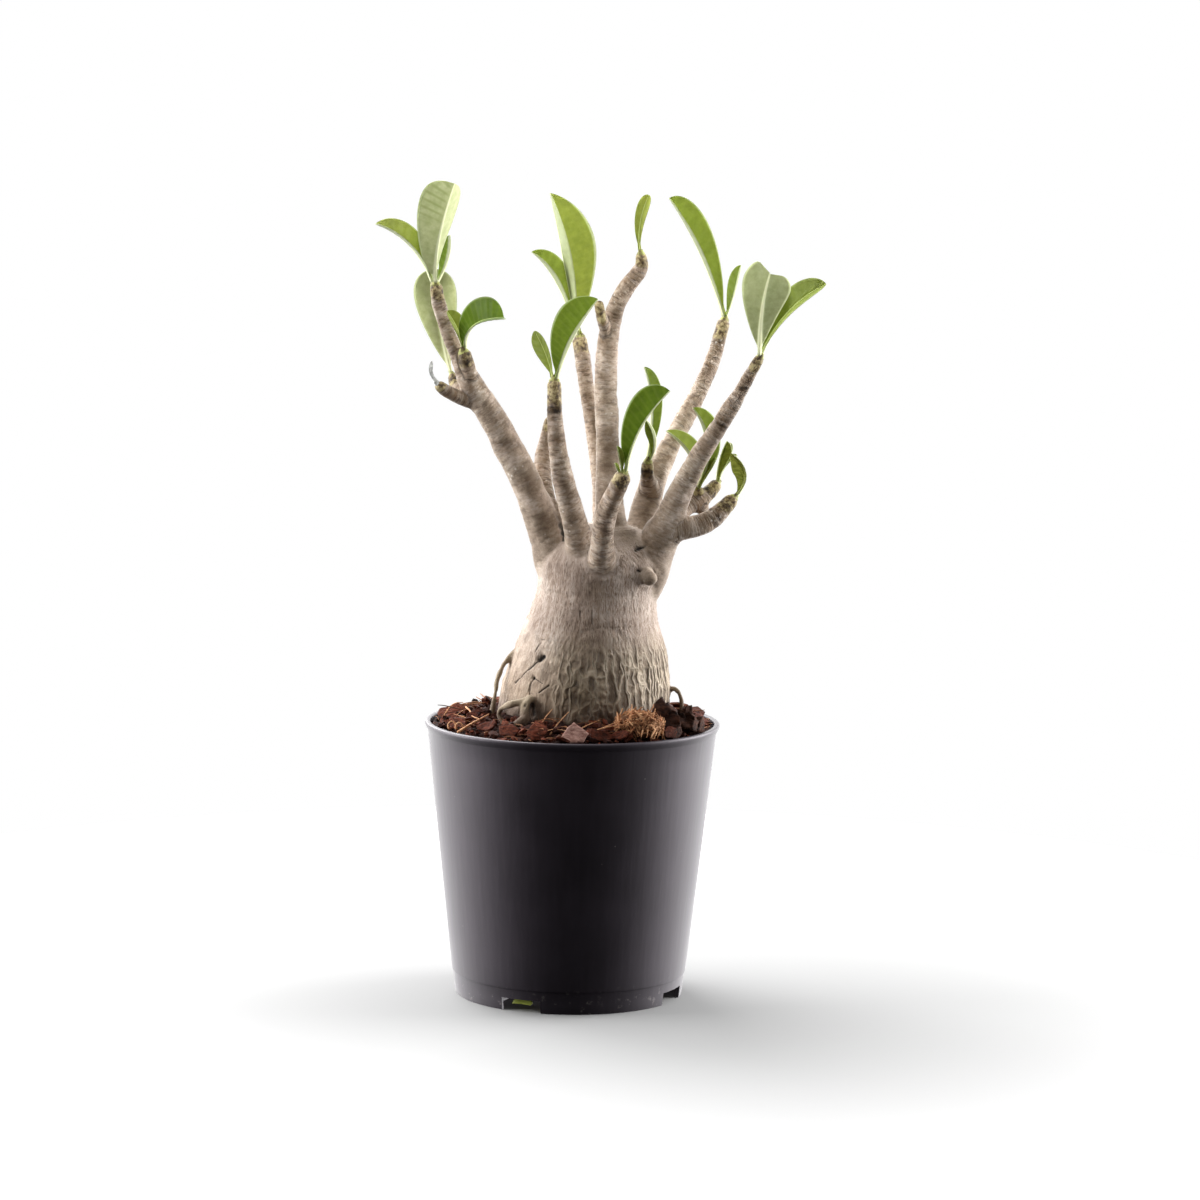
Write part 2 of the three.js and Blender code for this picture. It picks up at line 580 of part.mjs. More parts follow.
// Coir: a low mound, with short curved strands that cross over it
function makeCoir(grow = 0) {
  const draw = random(COIR_TUFT.seed);
  const [x0, y0, z0] = COIR_TUFT.at;
  const height = COIR_TUFT.height;
  const reach = COIR_TUFT.length / 2;
  const core = [
    [x0 - reach, y0 - 1, z0 - 1.5, height * 0.35],
    [x0, y0, z0, height * 0.8],
    [x0 + reach, y0 + 1, z0 - 0.5, height * 0.4],
  ];
  const strands = [taperedTube(core, 6, 2, grow)];
  for (let k = 0; k < COIR_TUFT.strands; k++) {
    const x = x0 + (k / (COIR_TUFT.strands - 1) - 0.5) * COIR_TUFT.length * 0.8;
    const lean = 7 * (draw() - 0.5);
    const side = k % 2 ? 1 : -1;
    const radius = COIR_TUFT.radius;
    strands.push(taperedTube([
      [x, y0, z0 + height * 0.1, radius],
      [x + lean * 0.6, y0 + side * COIR_TUFT.width * 0.25, z0 + height * (0.6 + 0.4 * draw()), radius],
      [x + lean, y0 + side * COIR_TUFT.width * 0.5, z0 + height * 0.5 * draw(), radius * 0.8],
    ], 4, 1, grow));
  }
  return joined(strands);
}

function makeScrap(name, grow = 0) {
  const draw = random(name.length * 7);
  return joined(SCRAPS[name].map((chip) => chipSolid(draw, chip.size, chip.turn, chip.at, chip.taper, grow)));
}

// The plant: caudex, branches and the roots above the soil grew as one piece

function makeCaudex(grow = 0) {
  const rings = CAUDEX.map(([z, x, across, deep]) => Array.from({ length: CAUDEX_SIDES }, (_, j) => {
    const angle = 2 * Math.PI * j / CAUDEX_SIDES;
    return new THREE.Vector3(x + (across + grow) * Math.cos(angle), (deep + grow) * Math.sin(angle), z);
  }));
  const low = CAUDEX[0];
  const high = CAUDEX[CAUDEX.length - 1];
  const bottom = new THREE.Vector3(low[1], 0, low[0] - 3 - grow);
  return solidFrom(loft(rings, bottom, new THREE.Vector3(high[1], 0, high[0] + 1.5)));
}

const branchTubes = (grow = 0) => Object.values(BRANCHES).map((route) => taperedTube(route, STEM_SIDES, 1, grow));
const rootTubes = (grow = 0) => Object.values(ROOTS).map((route) => taperedTube(route, 6, 1, grow));

function makePlant() {
  return joined([makeCaudex(), ...branchTubes(), ...rootTubes()]);
}

// A tuft: a short green bud on the tip of its stem, with the leaf stalks sunk into it
function makeTuft(tuft, stems) {
  const route = BRANCHES[tuft.stem];
  const [x, y, z, radius] = route[route.length - 1];
  const end = new THREE.Vector3(x, y, z);
  const direction = end.clone().sub(V(route[route.length - 2])).normalize();
  const low = end.clone().addScaledVector(direction, -0.8);
  const high = end.clone().addScaledVector(direction, 2.6);
  const width = tuft.withered ? 0.55 : 0.85;
  const bud = taperedTube([
    [low.x, low.y, low.z, radius * width],
    [high.x, high.y, high.z, radius * width * 0.55],
  ], 6, 1);
  const blades = tuft.leaves.map((leaf) => {
    const [rows, columns] = leaf.width > LARGE_LEAF ? [9, 4] : [6, 2];
    return leafBlade(leaf, rows, columns);
  });
  return largestBody(joined([bud, ...blades]).subtract(stems));
}

// Assembly

addMesh('pot', makePot(), 'pot');

const plantHole = joined([makeCaudex(HOLE_GROW), ...rootTubes(HOLE_GROW)]);
const scrapHoles = [...Object.keys(SCRAPS).map((name) => makeScrap(name, GAP)), makeCoir(GAP)];
const bed = joined([makeSoilBed(), ...makeChips()]);
addMesh('soil', largestBody(bed.subtract(joined([plantHole, ...scrapHoles]))), 'soil');
addMesh('bark_flake_front', makeScrap('bark_flake_front'), 'flake');
addMesh('bark_chunk_right', makeScrap('bark_chunk_right'), 'chunk');
addMesh('coir_tuft_front', makeCoir(), 'coir');

addMesh('caudex_and_branches', makePlant(), 'bark');

const grownStems = joined(branchTubes(GAP));
for (const [name, tuft] of Object.entries(TUFTS)) {
  addMesh(name, makeTuft(tuft, grownStems), tuft.withered ? 'withered' : 'leaf');
}

// Shift the whole to the middle of its bounding box, on the floor
const box = new THREE.Box3().setFromObject(group);
group.position.x = -(box.min.x + box.max.x) / 2;
group.position.y = -(box.min.y + box.max.y) / 2;

export default group;
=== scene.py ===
import itertools
import math

import bmesh
import bpy
import numpy as np
from mathutils import Matrix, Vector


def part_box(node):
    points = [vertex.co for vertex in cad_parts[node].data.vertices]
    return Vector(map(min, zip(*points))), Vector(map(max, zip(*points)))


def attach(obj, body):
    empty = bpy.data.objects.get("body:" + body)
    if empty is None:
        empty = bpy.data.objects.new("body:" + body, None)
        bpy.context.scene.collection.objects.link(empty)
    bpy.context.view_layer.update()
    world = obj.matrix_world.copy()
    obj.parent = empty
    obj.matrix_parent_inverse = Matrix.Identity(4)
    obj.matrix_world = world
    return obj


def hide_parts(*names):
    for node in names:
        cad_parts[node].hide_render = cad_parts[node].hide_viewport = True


# Potted desert rose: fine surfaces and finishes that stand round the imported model.
# Shapes are worked out in millimetres, with the pot's axis at x = 0, y = 0 and the front at -Y.

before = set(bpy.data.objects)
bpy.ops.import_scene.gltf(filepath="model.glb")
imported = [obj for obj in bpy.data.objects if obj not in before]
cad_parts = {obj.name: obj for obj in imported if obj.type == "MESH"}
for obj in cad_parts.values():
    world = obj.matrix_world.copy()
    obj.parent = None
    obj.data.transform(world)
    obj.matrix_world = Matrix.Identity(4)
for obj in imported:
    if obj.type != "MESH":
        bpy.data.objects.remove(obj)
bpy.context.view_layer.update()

MM = 0.001
pot_low, pot_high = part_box("pot")
POT_AXIS = np.array([(pot_low.x + pot_high.x) / 2, (pot_low.y + pot_high.y) / 2, 0.0])

# Pot and soil, in the sizes of the model. What lies on the soil keeps within SOIL_REACH of the axis.
RIM_RADIUS = 60.0
BASE_RADIUS = 46.3
POT_HEIGHT = 112.0
WALL = 1.3
LIP = 1.0
LIP_HEIGHT = 2.6
STEP_HEIGHT = 9.0
STEP = 0.4
FLOOR_UNDERSIDE = 3.4
FLOOR_TOP = 4.8
NOTCH_SIZE = (17.0, 17.0, 10.4)
NOTCH_TURN = -24.0
SOIL_EDGE = 110.6
SOIL_HEAP = 5.4
SOIL_REACH = 57.0

# The caudex: height, centre x, radius across, radius front to back
CAUDEX = [
    (74, 4.5, 9, 9), (80, 4.6, 20, 20), (90, 4.7, 29, 28.5), (103, 4.8, 34, 33.5), (117, 4.8, 35.1, 34.5),
    (129, 5.6, 33.9, 33), (141, 7, 31.1, 29.5), (153.5, 7.3, 26.7, 25), (160, 8.1, 25.2, 23.5),
    (166, 9.4, 24.4, 22.5), (172, 10.8, 25.4, 22.5), (178, 11.4, 26.8, 22), (184, 11.8, 24.5, 18.5),
    (189, 11.6, 18, 13), (192.5, 11.4, 10, 7), (193.6, 11.4, 4, 3),
]

# x of the middle of the caudex, which its grain and cords run round
CAUDEX_AXIS = 7.0

BARK_CELL = 0.72
MOST_TRIANGLES = 195_000

# Branches: points along each one, with the radius there
BRANCHES = {
    "arm_left": [
        (-2, -2, 166, 9), (-6.7, -3, 175.8, 8.6), (-10.9, -4, 187.3, 7.1), (-17.6, -6, 204.4, 6.3),
        (-25.8, -7, 221.4, 6), (-35.7, -8, 239.1, 5.5), (-43, -9, 250.4, 4.6), (-47.5, -10, 260, 3.2),
        (-52, -11, 270.5, 3), (-55.3, -12, 280.5, 2.9), (-57.2, -13, 289.3, 2.7)],
    "stub_left": [(-36, -7.5, 239, 3.6), (-41.4, -9, 248, 3.6), (-44.2, -12, 257, 3.2),
                  (-45.6, -14, 262.8, 2.8)],
    "twig_left_back": [(-38, -8, 243, 2.8), (-44.7, -5, 246, 2.6), (-49, 1, 247.9, 2.4),
                       (-50.5, 4, 251.7, 2.1)],
    "twig_left_out": [
        (-36, -7, 240, 3.2), (-42.2, -8, 242.3, 3), (-48.1, -12, 244.9, 2.6),
        (-52.4, -15, 247.3, 2.4), (-55.4, -17, 249.6, 2)],
    "arm_hidden": [
        (-2, 0, 180, 5), (-11.1, 0, 200.2, 4), (-13.8, 7, 212.1, 3.7), (-12.8, 11, 223.6, 3.1),
        (-10.6, 13, 234.4, 2.6)],
    "arm_front_left": [
        (7, -8, 170, 7), (3.8, -12, 181.1, 6.4), (0.9, -16, 191.7, 5.4), (-2.7, -19, 204.1, 4.8),
        (-5.9, -22, 216.8, 4.2), (-7.8, -24, 229, 3.6), (-8.6, -25, 240.3, 3.1), (-9, -26, 252.7, 2.8)],
    "arm_back": [
        (13, 8, 171, 6.5), (12.6, 12, 181.7, 6.1), (11.2, 17, 194.6, 4.5), (9.8, 20, 208.7, 3.7),
        (7.9, 23, 222.7, 3.4), (5.2, 26, 238, 3.3), (2.5, 29, 253, 3.3), (0.6, 31, 266.3, 2.9)],
    "arm_centre": [
        (14.5, 0, 170, 9), (14.7, 0, 183.1, 8.1), (13.8, 2, 200.4, 5.9), (12.9, 3, 218.6, 4.9),
        (12.2, 4, 234.8, 4.7), (11.6, 5, 250.9, 4.5), (11.8, 5, 263.1, 4.2), (13.2, 5, 273.2, 3.8),
        (15.5, 4, 281.4, 3.6), (19.4, 3, 288.4, 3.5), (23, 2, 293.5, 3.2), (25, 1, 297.4, 2.7),
        (24.8, 0, 301.9, 2.3)],
    "twig_centre": [(12, 5, 261, 2.8), (11.7, 4, 269.2, 2.8), (9.5, -1, 276.8, 2.3), (8.1, -3, 282.9, 1.9)],
    "arm_front": [
        (11, -13, 172, 6), (11.1, -20, 180.6, 5.2), (11.2, -26, 189.4, 4.5), (12.6, -31, 200.4, 4),
        (15.8, -34.5, 209.2, 3.6), (19.1, -37, 216.7, 3.2)],
    "arm_back_right": [
        (23, 2, 167, 9), (24.9, 6, 176.8, 8.1), (26.4, 11, 186.5, 6.3), (28.7, 15, 198, 5.9),
        (31.8, 18, 209.2, 5.3), (36.2, 21, 219.3, 4.4), (41.8, 24, 229.8, 3.9), (47.4, 27, 240.3, 3.6),
        (52.6, 30, 251.2, 3.3), (56.9, 33, 262.5, 3), (59.8, 35, 273.9, 2.5)],
    "stub_back_right": [(29, 16, 198, 4.6), (30.2, 14, 204.7, 4.2), (29, 9, 212.6, 2.8),
                        (29.1, 7, 217.7, 2.4)],
    "arm_right": [
        (25, -2, 167, 9.5), (29.7, -5, 175.8, 8.9), (34.4, -8, 187.6, 6.9), (38.6, -11, 199, 5.6),
        (42.8, -13, 209.4, 4.9), (47.8, -15, 219.3, 4.3), (53.2, -17, 228.7, 3.7), (58.5, -19, 237.8, 3.4),
        (64.1, -21, 247, 3), (68.8, -23, 256.1, 2.5), (72.5, -24, 263, 2.2)],
    "twig_right_low": [
        (34, -8, 190, 5.6), (41.5, -10, 192.8, 5.2), (47.1, -10, 193.3, 4.4), (52.8, -9, 195.3, 4.2),
        (57.2, -8, 198.3, 3.8), (60.7, -7, 201.7, 3.3), (63.7, -6, 204.7, 2.6)],
    "twig_right_back": [
        (33, -4, 191, 5), (40, 2, 195.9, 4.1), (45.3, 8, 199, 3.1), (50.2, 11, 202.1, 3),
        (54.3, 13, 205.2, 2.9), (57.3, 14, 208.4, 2.4)],
    "stub_right_back": [(51.4, 11.5, 198.5, 2.6), (50.6, 11, 201.2, 2.4), (49.4, 10, 206.5, 2)],
    "cut_knob": [(25, -10, 177, 3.6), (26.8, -14, 175.2, 3.4), (31.9, -19, 172.9, 2.8)],
}

# Thin roots that leave the caudex above the soil and bend down into it
ROOTS = {
    "root_left": [
        (-17, 0, 144, 1.5), (-22.9, -2, 141, 1.3), (-27.8, -5, 135.9, 1), (-30.1, -8, 130.9, 0.9),
        (-31, -11, 126.2, 0.9), (-31.8, -13, 121.2, 0.9), (-32.6, -15, 115, 1.1), (-33.1, -16, 108, 0.9)],
    "root_loop_top": [
        (-15, -22, 124, 1.8), (-18.1, -27, 123.8, 1.8), (-23.3, -27.5, 122.9, 1.4), (-28.4, -22.5, 120, 1.2),
        (-29.4, -22, 117.6, 1.25), (-27.6, -24, 114.4, 1.35), (-25, -26, 109, 1.1)],
    "root_loop_low": [
        (-15.5, -23, 124.5, 2), (-17.9, -28.5, 123.2, 2.1), (-18.6, -30.5, 120.6, 2.3),
        (-18.3, -32, 117.6, 2.4), (-20.8, -34, 116, 1.8), (-24.6, -35, 114, 1.4), (-28, -35, 111, 1)],
    "root_right": [
        (35, 0, 124, 1), (38.8, 0, 124.9, 0.9), (40.8, -1, 126.1, 0.8), (43, -2, 124.8, 0.8),
        (44.1, -3, 121.7, 0.8), (44.4, -4, 116.9, 0.8), (44.4, -4.5, 109, 0.8)],
}

# Slits, pits and crevices in the bark: points, half width, depth, and how dark each is inside, which is
# painted shade
CRACKS = [
    ([(-11.9, -23.2, 141.5), (-13.4, -22.5, 140)], 1.0, 1.3, 1.0),
    ([(-13.2, -22.6, 140.2), (-17.6, -20.8, 135.9)], 0.34, 0.5, 1.0),
    ([(-17.6, -20.8, 135.9), (-23.4, -16.5, 129.8)], 0.22, 0.4, 1.0),
    ([(-15.5, -24.1, 133), (-15.6, -24.1, 132.8)], 0.6, 0.9, 1.0),
    ([(-15.5, -24.1, 133), (-12, -27.3, 131.2)], 0.2, 0.35, 1.0),
    ([(-15.5, -24.1, 133), (-17.1, -24.1, 129.8), (-17.3, -25.4, 123.8)], 0.24, 0.4, 0.8),
    ([(-9.4, -29, 130.7), (-13.1, -27.8, 127.6)], 0.26, 0.45, 0.9),
    ([(-13.2, -19.8, 146.4), (-15.1, -19.7, 142.9)], 0.2, 0.3, 0.7),
    ([(-18.9, -30.3, 122.9), (-18.9, -30.2, 122.6)], 0.6, 0.8, 1.0),
    ([(-26.6, -24, 117.8), (-22.8, -25, 117)], 1.3, 0.8, 0.9),
    ([(-15.9, -29, 123), (-15.6, -29.5, 118.8)], 0.9, 0.9, 0.9),
    ([(7.4, -23.4, 160.7), (7.5, -24.6, 155.2)], 0.2, 0.3, 0.6),
    ([(2.6, -22.9, 160.2), (2.6, -23.5, 157.8)], 0.2, 0.3, 0.6),
    ([(25.8, -18.5, 176.4), (26.1, -18.4, 176.2)], 0.6, 1.0, 0.9),
    ([(-7.8, -8, 199.9), (-6.4, -8, 196.4)], 0.4, 0.6, 0.9),
    ([(-6.4, -8, 196.4), (-5.3, -8.2, 193.4)], 0.85, 0.8, 0.9),
    ([(-5.3, -8.2, 193.4), (-3.9, -8.6, 189.8)], 1.2, 1.1, 1.0),
    ([(-3.9, -8.6, 189.8), (-4.7, -9.5, 187.3)], 0.6, 0.7, 0.8),
    ([(24.6, -13.5, 184.2), (27.7, -11.9, 185.5)], 1.0, 1.1, 1.0),
    ([(3.4, -25.6, 151.1), (5.9, -25.1, 153.1), (10.3, -24.8, 153.7), (16.6, -23.5, 153.3),
      (21.2, -23.1, 149.1)], 0.8, 0.2, 0.05),
    ([(6.2, -19.6, 181.3), (7.9, -21.9, 176.7), (11.6, -22.3, 174.2), (16, -21.8, 175.6),
      (17.9, -20.3, 179.9)], 0.9, 0.5, 0.12),
]

# Dark rings and arcs on young wood: branch, distance from its tip, half width along it, the angle round the
# stem that it faces (0 is the front), the half angle that it covers, in degrees, and how dark it is
BANDS = [
    ("arm_left", 1.5, 1.0, 20, 70, 0.7), ("arm_left", 13.5, 1.0, 10, 50, 0.5),
    ("arm_left", 24.5, 1.0, -15, 45, 0.5), ("arm_left", 33, 0.7, 25, 40, 0.4),
    ("stub_left", 1.2, 1.6, 0, 90, 0.9), ("twig_left_back", 1.5, 1.3, 0, 120, 0.7),
    ("arm_front_left", 9.4, 1.9, 10, 120, 1.0), ("arm_back", 3, 0.9, -20, 60, 0.5),
    ("arm_centre", 2.5, 0.8, 10, 70, 0.5), ("arm_centre", 26, 0.7, 30, 40, 0.4),
    ("arm_front", 1.5, 1.0, 20, 60, 0.7), ("stub_back_right", 2, 2.4, -30, 90, 0.9),
    ("arm_back_right", 7, 0.9, 20, 60, 0.5), ("arm_back_right", 15, 0.7, 0, 60, 0.4),
    ("arm_back_right", 56, 0.7, 0, 90, 0.5), ("arm_right", 1.0, 0.7, 0, 80, 0.6),
    ("arm_right", 12.5, 1.3, 10, 50, 0.8), ("arm_right", 29.5, 1.0, 10, 60, 1.0),
    ("twig_right_low", 3, 1.2, 0, 60, 0.6), ("twig_right_back", 3.5, 1.2, 0, 70, 0.7),
]

# Brown places: weathered skin on the branches, and painted shade on the caudex's front and where branches
# meet: the middle and radius of each
WEATHERED_AND_SHADED = [
    (-12, -10, 190, 9), (-22, -12, 214, 8), (-33, -13, 234, 10), (30, 8, 203, 12), (28, -6, 183, 12),
    (15, -4, 228, 10), (0, -19, 205, 10), (9, -24, 168, 7), (5, -30, 150, 12), (2, -35, 128, 13),
    (21, -9, 189, 9),
]

# How far down from the tip the olive and brown young skin reaches
YOUNG = {
    "arm_left": 6, "stub_left": 5, "twig_left_back": 7, "twig_left_out": 1.5, "arm_hidden": 5,
    "arm_front_left": 12, "arm_back": 6, "arm_centre": 5, "twig_centre": 7, "arm_front": 3,
    "arm_back_right": 8, "stub_back_right": 5, "arm_right": 6, "twig_right_low": 6, "twig_right_back": 7,
    "stub_right_back": 5, "cut_knob": 0.1,
}

# Leaf tufts. A leaf runs from base through bend to tip along its midrib. Turn is about the midrib, and fold
# lifts each half out of flat. Full and point shape the outline, and notch parts its tip in two lobes. Tone
# runs from dark mature green to yellow green, under is the same below, and banded marks veins on one half.
TUFTS = {
    "leaves_left_tip": ("arm_left", [
        dict(base=(-57.3, -13.9, 290.8), bend=(-55.9, -20, 308), tip=(-49.7, -22, 330.2),
             width=24, turn=225, fold=25, full=7, point=0.4, tone=0.5, under=0.85, banded=5.0),
        dict(base=(-58.2, -13, 290.5), bend=(-67, -15, 304.8), tip=(-81.3, -14, 313.3),
             width=13.5, turn=62, fold=38, full=2.4, point=0.7, tone=1.0),
        dict(base=(-56.9, -11.9, 290.3), bend=(-52.6, -5, 300.1), tip=(-52, -2, 308.8),
             width=9, turn=-62, fold=40, full=3, point=0.6, tone=0.2)]),
    "leaf_left_back": ("twig_left_back", [
        dict(base=(-51.2, 5, 252.8), bend=(-56, 8, 273.1), tip=(-59.1, 10, 294.4),
             width=18, turn=188, fold=14, full=5, point=0.5, tone=0.6, under=0.8)]),
    "leaves_left_stub": ("stub_left", [
        dict(base=(-45.3, -14, 264.3), bend=(-41.3, -22, 274.2), tip=(-29.5, -20, 277.2),
             width=19, turn=-54, fold=36, full=5, point=0.5, tone=0.05),
        dict(base=(-46.1, -14, 264.2), bend=(-47.9, -16, 271.7), tip=(-52.3, -17, 279.3),
             width=8, turn=40, fold=35, full=3, point=0.6, tone=0.8)]),
    "withered_leaf_left": ("twig_left_out", [
        dict(base=(-55.6, -17, 250.2), bend=(-58.8, -18, 254.9), tip=(-58.1, -17, 259.2),
             width=2.6, turn=120, fold=50, full=2, point=0.6, tone=0.0)]),
    "leaves_front_left": ("arm_front_left", [
        dict(base=(-8.3, -26.8, 254), bend=(-2.2, -33, 270), tip=(7.9, -38, 286.3),
             width=21, turn=-54, fold=43, full=2.6, point=0.7, tone=0.25),
        dict(base=(-9.7, -25.3, 254), bend=(-12.5, -22, 262.7), tip=(-17.3, -18, 271.9),
             width=7.5, turn=-20, fold=35, full=3, point=0.7, tone=0.7)]),
    "leaves_back": ("arm_back", [
        dict(base=(0.1, 29.8, 267.4), bend=(-5.9, 24, 296.9), tip=(-12.3, 20, 325.4),
             width=29, turn=62, fold=42, full=2, point=0.8, tone=0.8),
        dict(base=(-0.5, 31, 267.4), bend=(-8.7, 28, 288.1), tip=(-19.6, 24, 301.2),
             width=14, turn=62, fold=42, full=2.4, point=0.8, tone=0.55)]),
    "leaf_centre_tip": ("arm_centre", [
        dict(base=(24.6, 0, 303.1), bend=(24.2, -1, 314.4), tip=(27.6, 0, 326),
             width=6.4, turn=-12, fold=38, full=5, point=0.5, tone=1.0)]),
    "leaves_front": ("arm_front", [
        dict(base=(19.8, -37.8, 218), bend=(25.2, -44, 235.7), tip=(36.8, -46, 251.1),
             width=18.5, turn=-52, fold=43, full=3.6, point=0.55, tone=0.12),
        dict(base=(18.3, -37.8, 217.8), bend=(17.6, -40, 223.3), tip=(16.3, -41, 228.6),
             width=4, turn=30, fold=50, full=2, point=0.6, tone=0.7),
        dict(base=(17.8, -37, 217.1), bend=(16.4, -38, 219.5), tip=(15.6, -39, 221.6),
             width=2.6, turn=60, fold=30, full=2, point=0.6, tone=0.7)]),
    "leaves_back_right_stub": ("stub_back_right", [
        dict(base=(29.9, 6.3, 218.7), bend=(31.8, 3, 227.9), tip=(28, 0, 235.4),
             width=7, turn=-58, fold=46, full=2.4, point=0.7, tone=0.4),
        dict(base=(29.1, 8, 218.7), bend=(30.4, 9, 238.7), tip=(26.9, 12, 255.9),
             width=10, turn=55, fold=42, full=3, point=0.6, tone=0.35)]),
    "leaves_back_right": ("arm_back_right", [
        dict(base=(59.7, 34.4, 275.3), bend=(49.9, 28, 300.4), tip=(36, 22, 324),
             width=17, turn=55, fold=43, full=3.4, point=0.55, tone=0.55),
        dict(base=(60.5, 35, 275.2), bend=(63.8, 37, 285.4), tip=(66.3, 38, 296.4),
             width=7.5, turn=-52, fold=48, full=3, point=0.6, tone=0.4)]),
    "leaves_right_tip": ("arm_right", [
        dict(base=(72.5, -24.6, 264.5), bend=(72.8, -31, 281.7), tip=(75.6, -32, 296.8),
             width=19.8, turn=180, fold=10, full=7, point=0.35, notch=4.5, tone=0.7, under=0.5),
        dict(base=(73.1, -23.5, 264.3), bend=(83.2, -20, 280.8), tip=(98.6, -18, 292.5),
             width=13.5, turn=-46, fold=34, full=3.2, point=0.6, tone=0.6)]),
    "leaves_low_back": ("stub_right_back", [
        dict(base=(49.7, 9, 207.4), bend=(52.9, 6, 224.7), tip=(46.9, 2, 240.4),
             width=13, turn=60, fold=40, full=2.4, point=0.7, tone=0.5),
        dict(base=(48.7, 10, 207.2), bend=(47.1, 14, 218.5), tip=(36.4, 18, 229.4),
             width=12.5, turn=62, fold=40, full=2.4, point=0.7, tone=0.7),
        dict(base=(50.2, 9, 207.2), bend=(53.5, 6, 214.1), tip=(56.6, 4, 220.4),
             width=4, turn=-30, fold=45, full=2.4, point=0.7, tone=0.5)]),
    "leaves_right_fork": ("twig_right_back", [
        dict(base=(57.6, 14, 209.8), bend=(58.5, 13, 218.4), tip=(61.2, 12, 226.3),
             width=7.5, turn=40, fold=45, full=3, point=0.6, tone=1.0),
        dict(base=(58.3, 14, 209.5), bend=(60.3, 16, 214.8), tip=(65.6, 20, 219.8),
             width=6.5, turn=-60, fold=35, full=3, point=0.6, tone=0.8),
        dict(base=(58.1, 14.6, 209.4), bend=(60.6, 18, 218), tip=(63, 19, 224.9),
             width=5, turn=180, fold=35, full=3, point=0.6, tone=0.5)]),
    "leaf_right_low": ("twig_right_low", [
        dict(base=(64.2, -6, 205.2), bend=(68.2, -6, 214.7), tip=(62.4, -5, 223),
             width=10, turn=-50, fold=36, full=2.4, point=0.7, tone=1.0)]),
}

# Numbers, curves and noise


def unit(vectors):
    """Each vector divided by its length."""
    return vectors / np.maximum(np.linalg.norm(vectors, axis=-1, keepdims=True), 1e-9)


def ease(start, end, value):
    """0 before start, 1 past end, and 3t^2 - 2t^3 between them."""
    t = np.clip((value - start) / (end - start), 0.0, 1.0)
    return t * t * (3 - 2 * t)


def noise(points, seed=0):
    """Smooth noise from -1 to 1: a hashed value at each whole-number corner, eased between corners."""
    base = np.floor(points)
    near = points - base
    near = near * near * (3 - 2 * near)
    cell = base.astype(np.int64)
    total = np.zeros(points.shape[:-1])
    for corner in itertools.product((0, 1), repeat=3):
        step = cell + np.array(corner)
        mixed = step[..., 0] * 374761393 + step[..., 1] * 668265263 + step[..., 2] * 1013904223 + seed * 69069
        mixed = ((mixed ^ (mixed >> 13)) * 1274126177) & 0xFFFFFFFF
        value = ((mixed ^ (mixed >> 16)) & 0xFFFF) / 32767.5 - 1
        weight = np.prod(np.where(np.array(corner), near, 1 - near), axis=-1)
        total += weight * value
    return total


def smooth_route(route, spacing):
    """Centripetal Catmull-Rom curve through the route's points, with the radius in straight steps between
    them. Returns rows of x, y, z, radius about one spacing apart, and the length reached at each."""
    knots = np.array(route, float)
    padded = np.vstack([2 * knots[0] - knots[1], knots, 2 * knots[-1] - knots[-2]])
    t = np.linspace(0, 1, 24)[:, None]
    spans = []
    for a, b, c, d in zip(padded, padded[1:], padded[2:], padded[3:]):
        before, here, after = (np.sqrt(np.linalg.norm((q - p)[:3])) for p, q in ((a, b), (b, c), (c, d)))
        leave = ((b - a) / before - (c - a) / (before + here) + (c - b) / here) * here
        arrive = ((c - b) / here - (d - b) / (here + after) + (d - c) / after) * here
        span = (b + leave * t + (3 * c - 3 * b - 2 * leave - arrive) * t ** 2
                + (2 * b - 2 * c + leave + arrive) * t ** 3)
        span[:, 3] = (b + (c - b) * t)[:, 3]
        spans.append(span)
    dense = np.vstack(spans)
    reached = np.concatenate([[0], np.cumsum(np.linalg.norm(np.diff(dense[:, :3], axis=0), axis=1))])
    lengths = np.linspace(0, reached[-1], max(4, round(reached[-1] / spacing) + 1))
    return np.stack([np.interp(lengths, reached, dense[:, k]) for k in range(4)], axis=1), lengths


# Meshes from grids


def ring_faces(rings, sides):
    """Faces of stacked rings that each run anticlockwise seen from above: point j of ring i is number
    i * sides + j. Squares join neighbouring rings, and triangles join the first and the last ring to a pole
    each. The two poles come after the rings' points."""
    i, j = np.meshgrid(np.arange(rings - 1), np.arange(sides), indexing="ij")
    k = (j + 1) % sides
    quads = np.stack([i * sides + j, i * sides + k, (i + 1) * sides + k, (i + 1) * sides + j], axis=-1)
    side = np.arange(sides)
    after = (side + 1) % sides
    last = (rings - 1) * sides
    caps = np.vstack([np.stack([after, side, np.full(sides, rings * sides)], axis=1),
                      np.stack([last + side, last + after, np.full(sides, rings * sides + 1)], axis=1)])
    return quads.reshape(-1, 4), caps


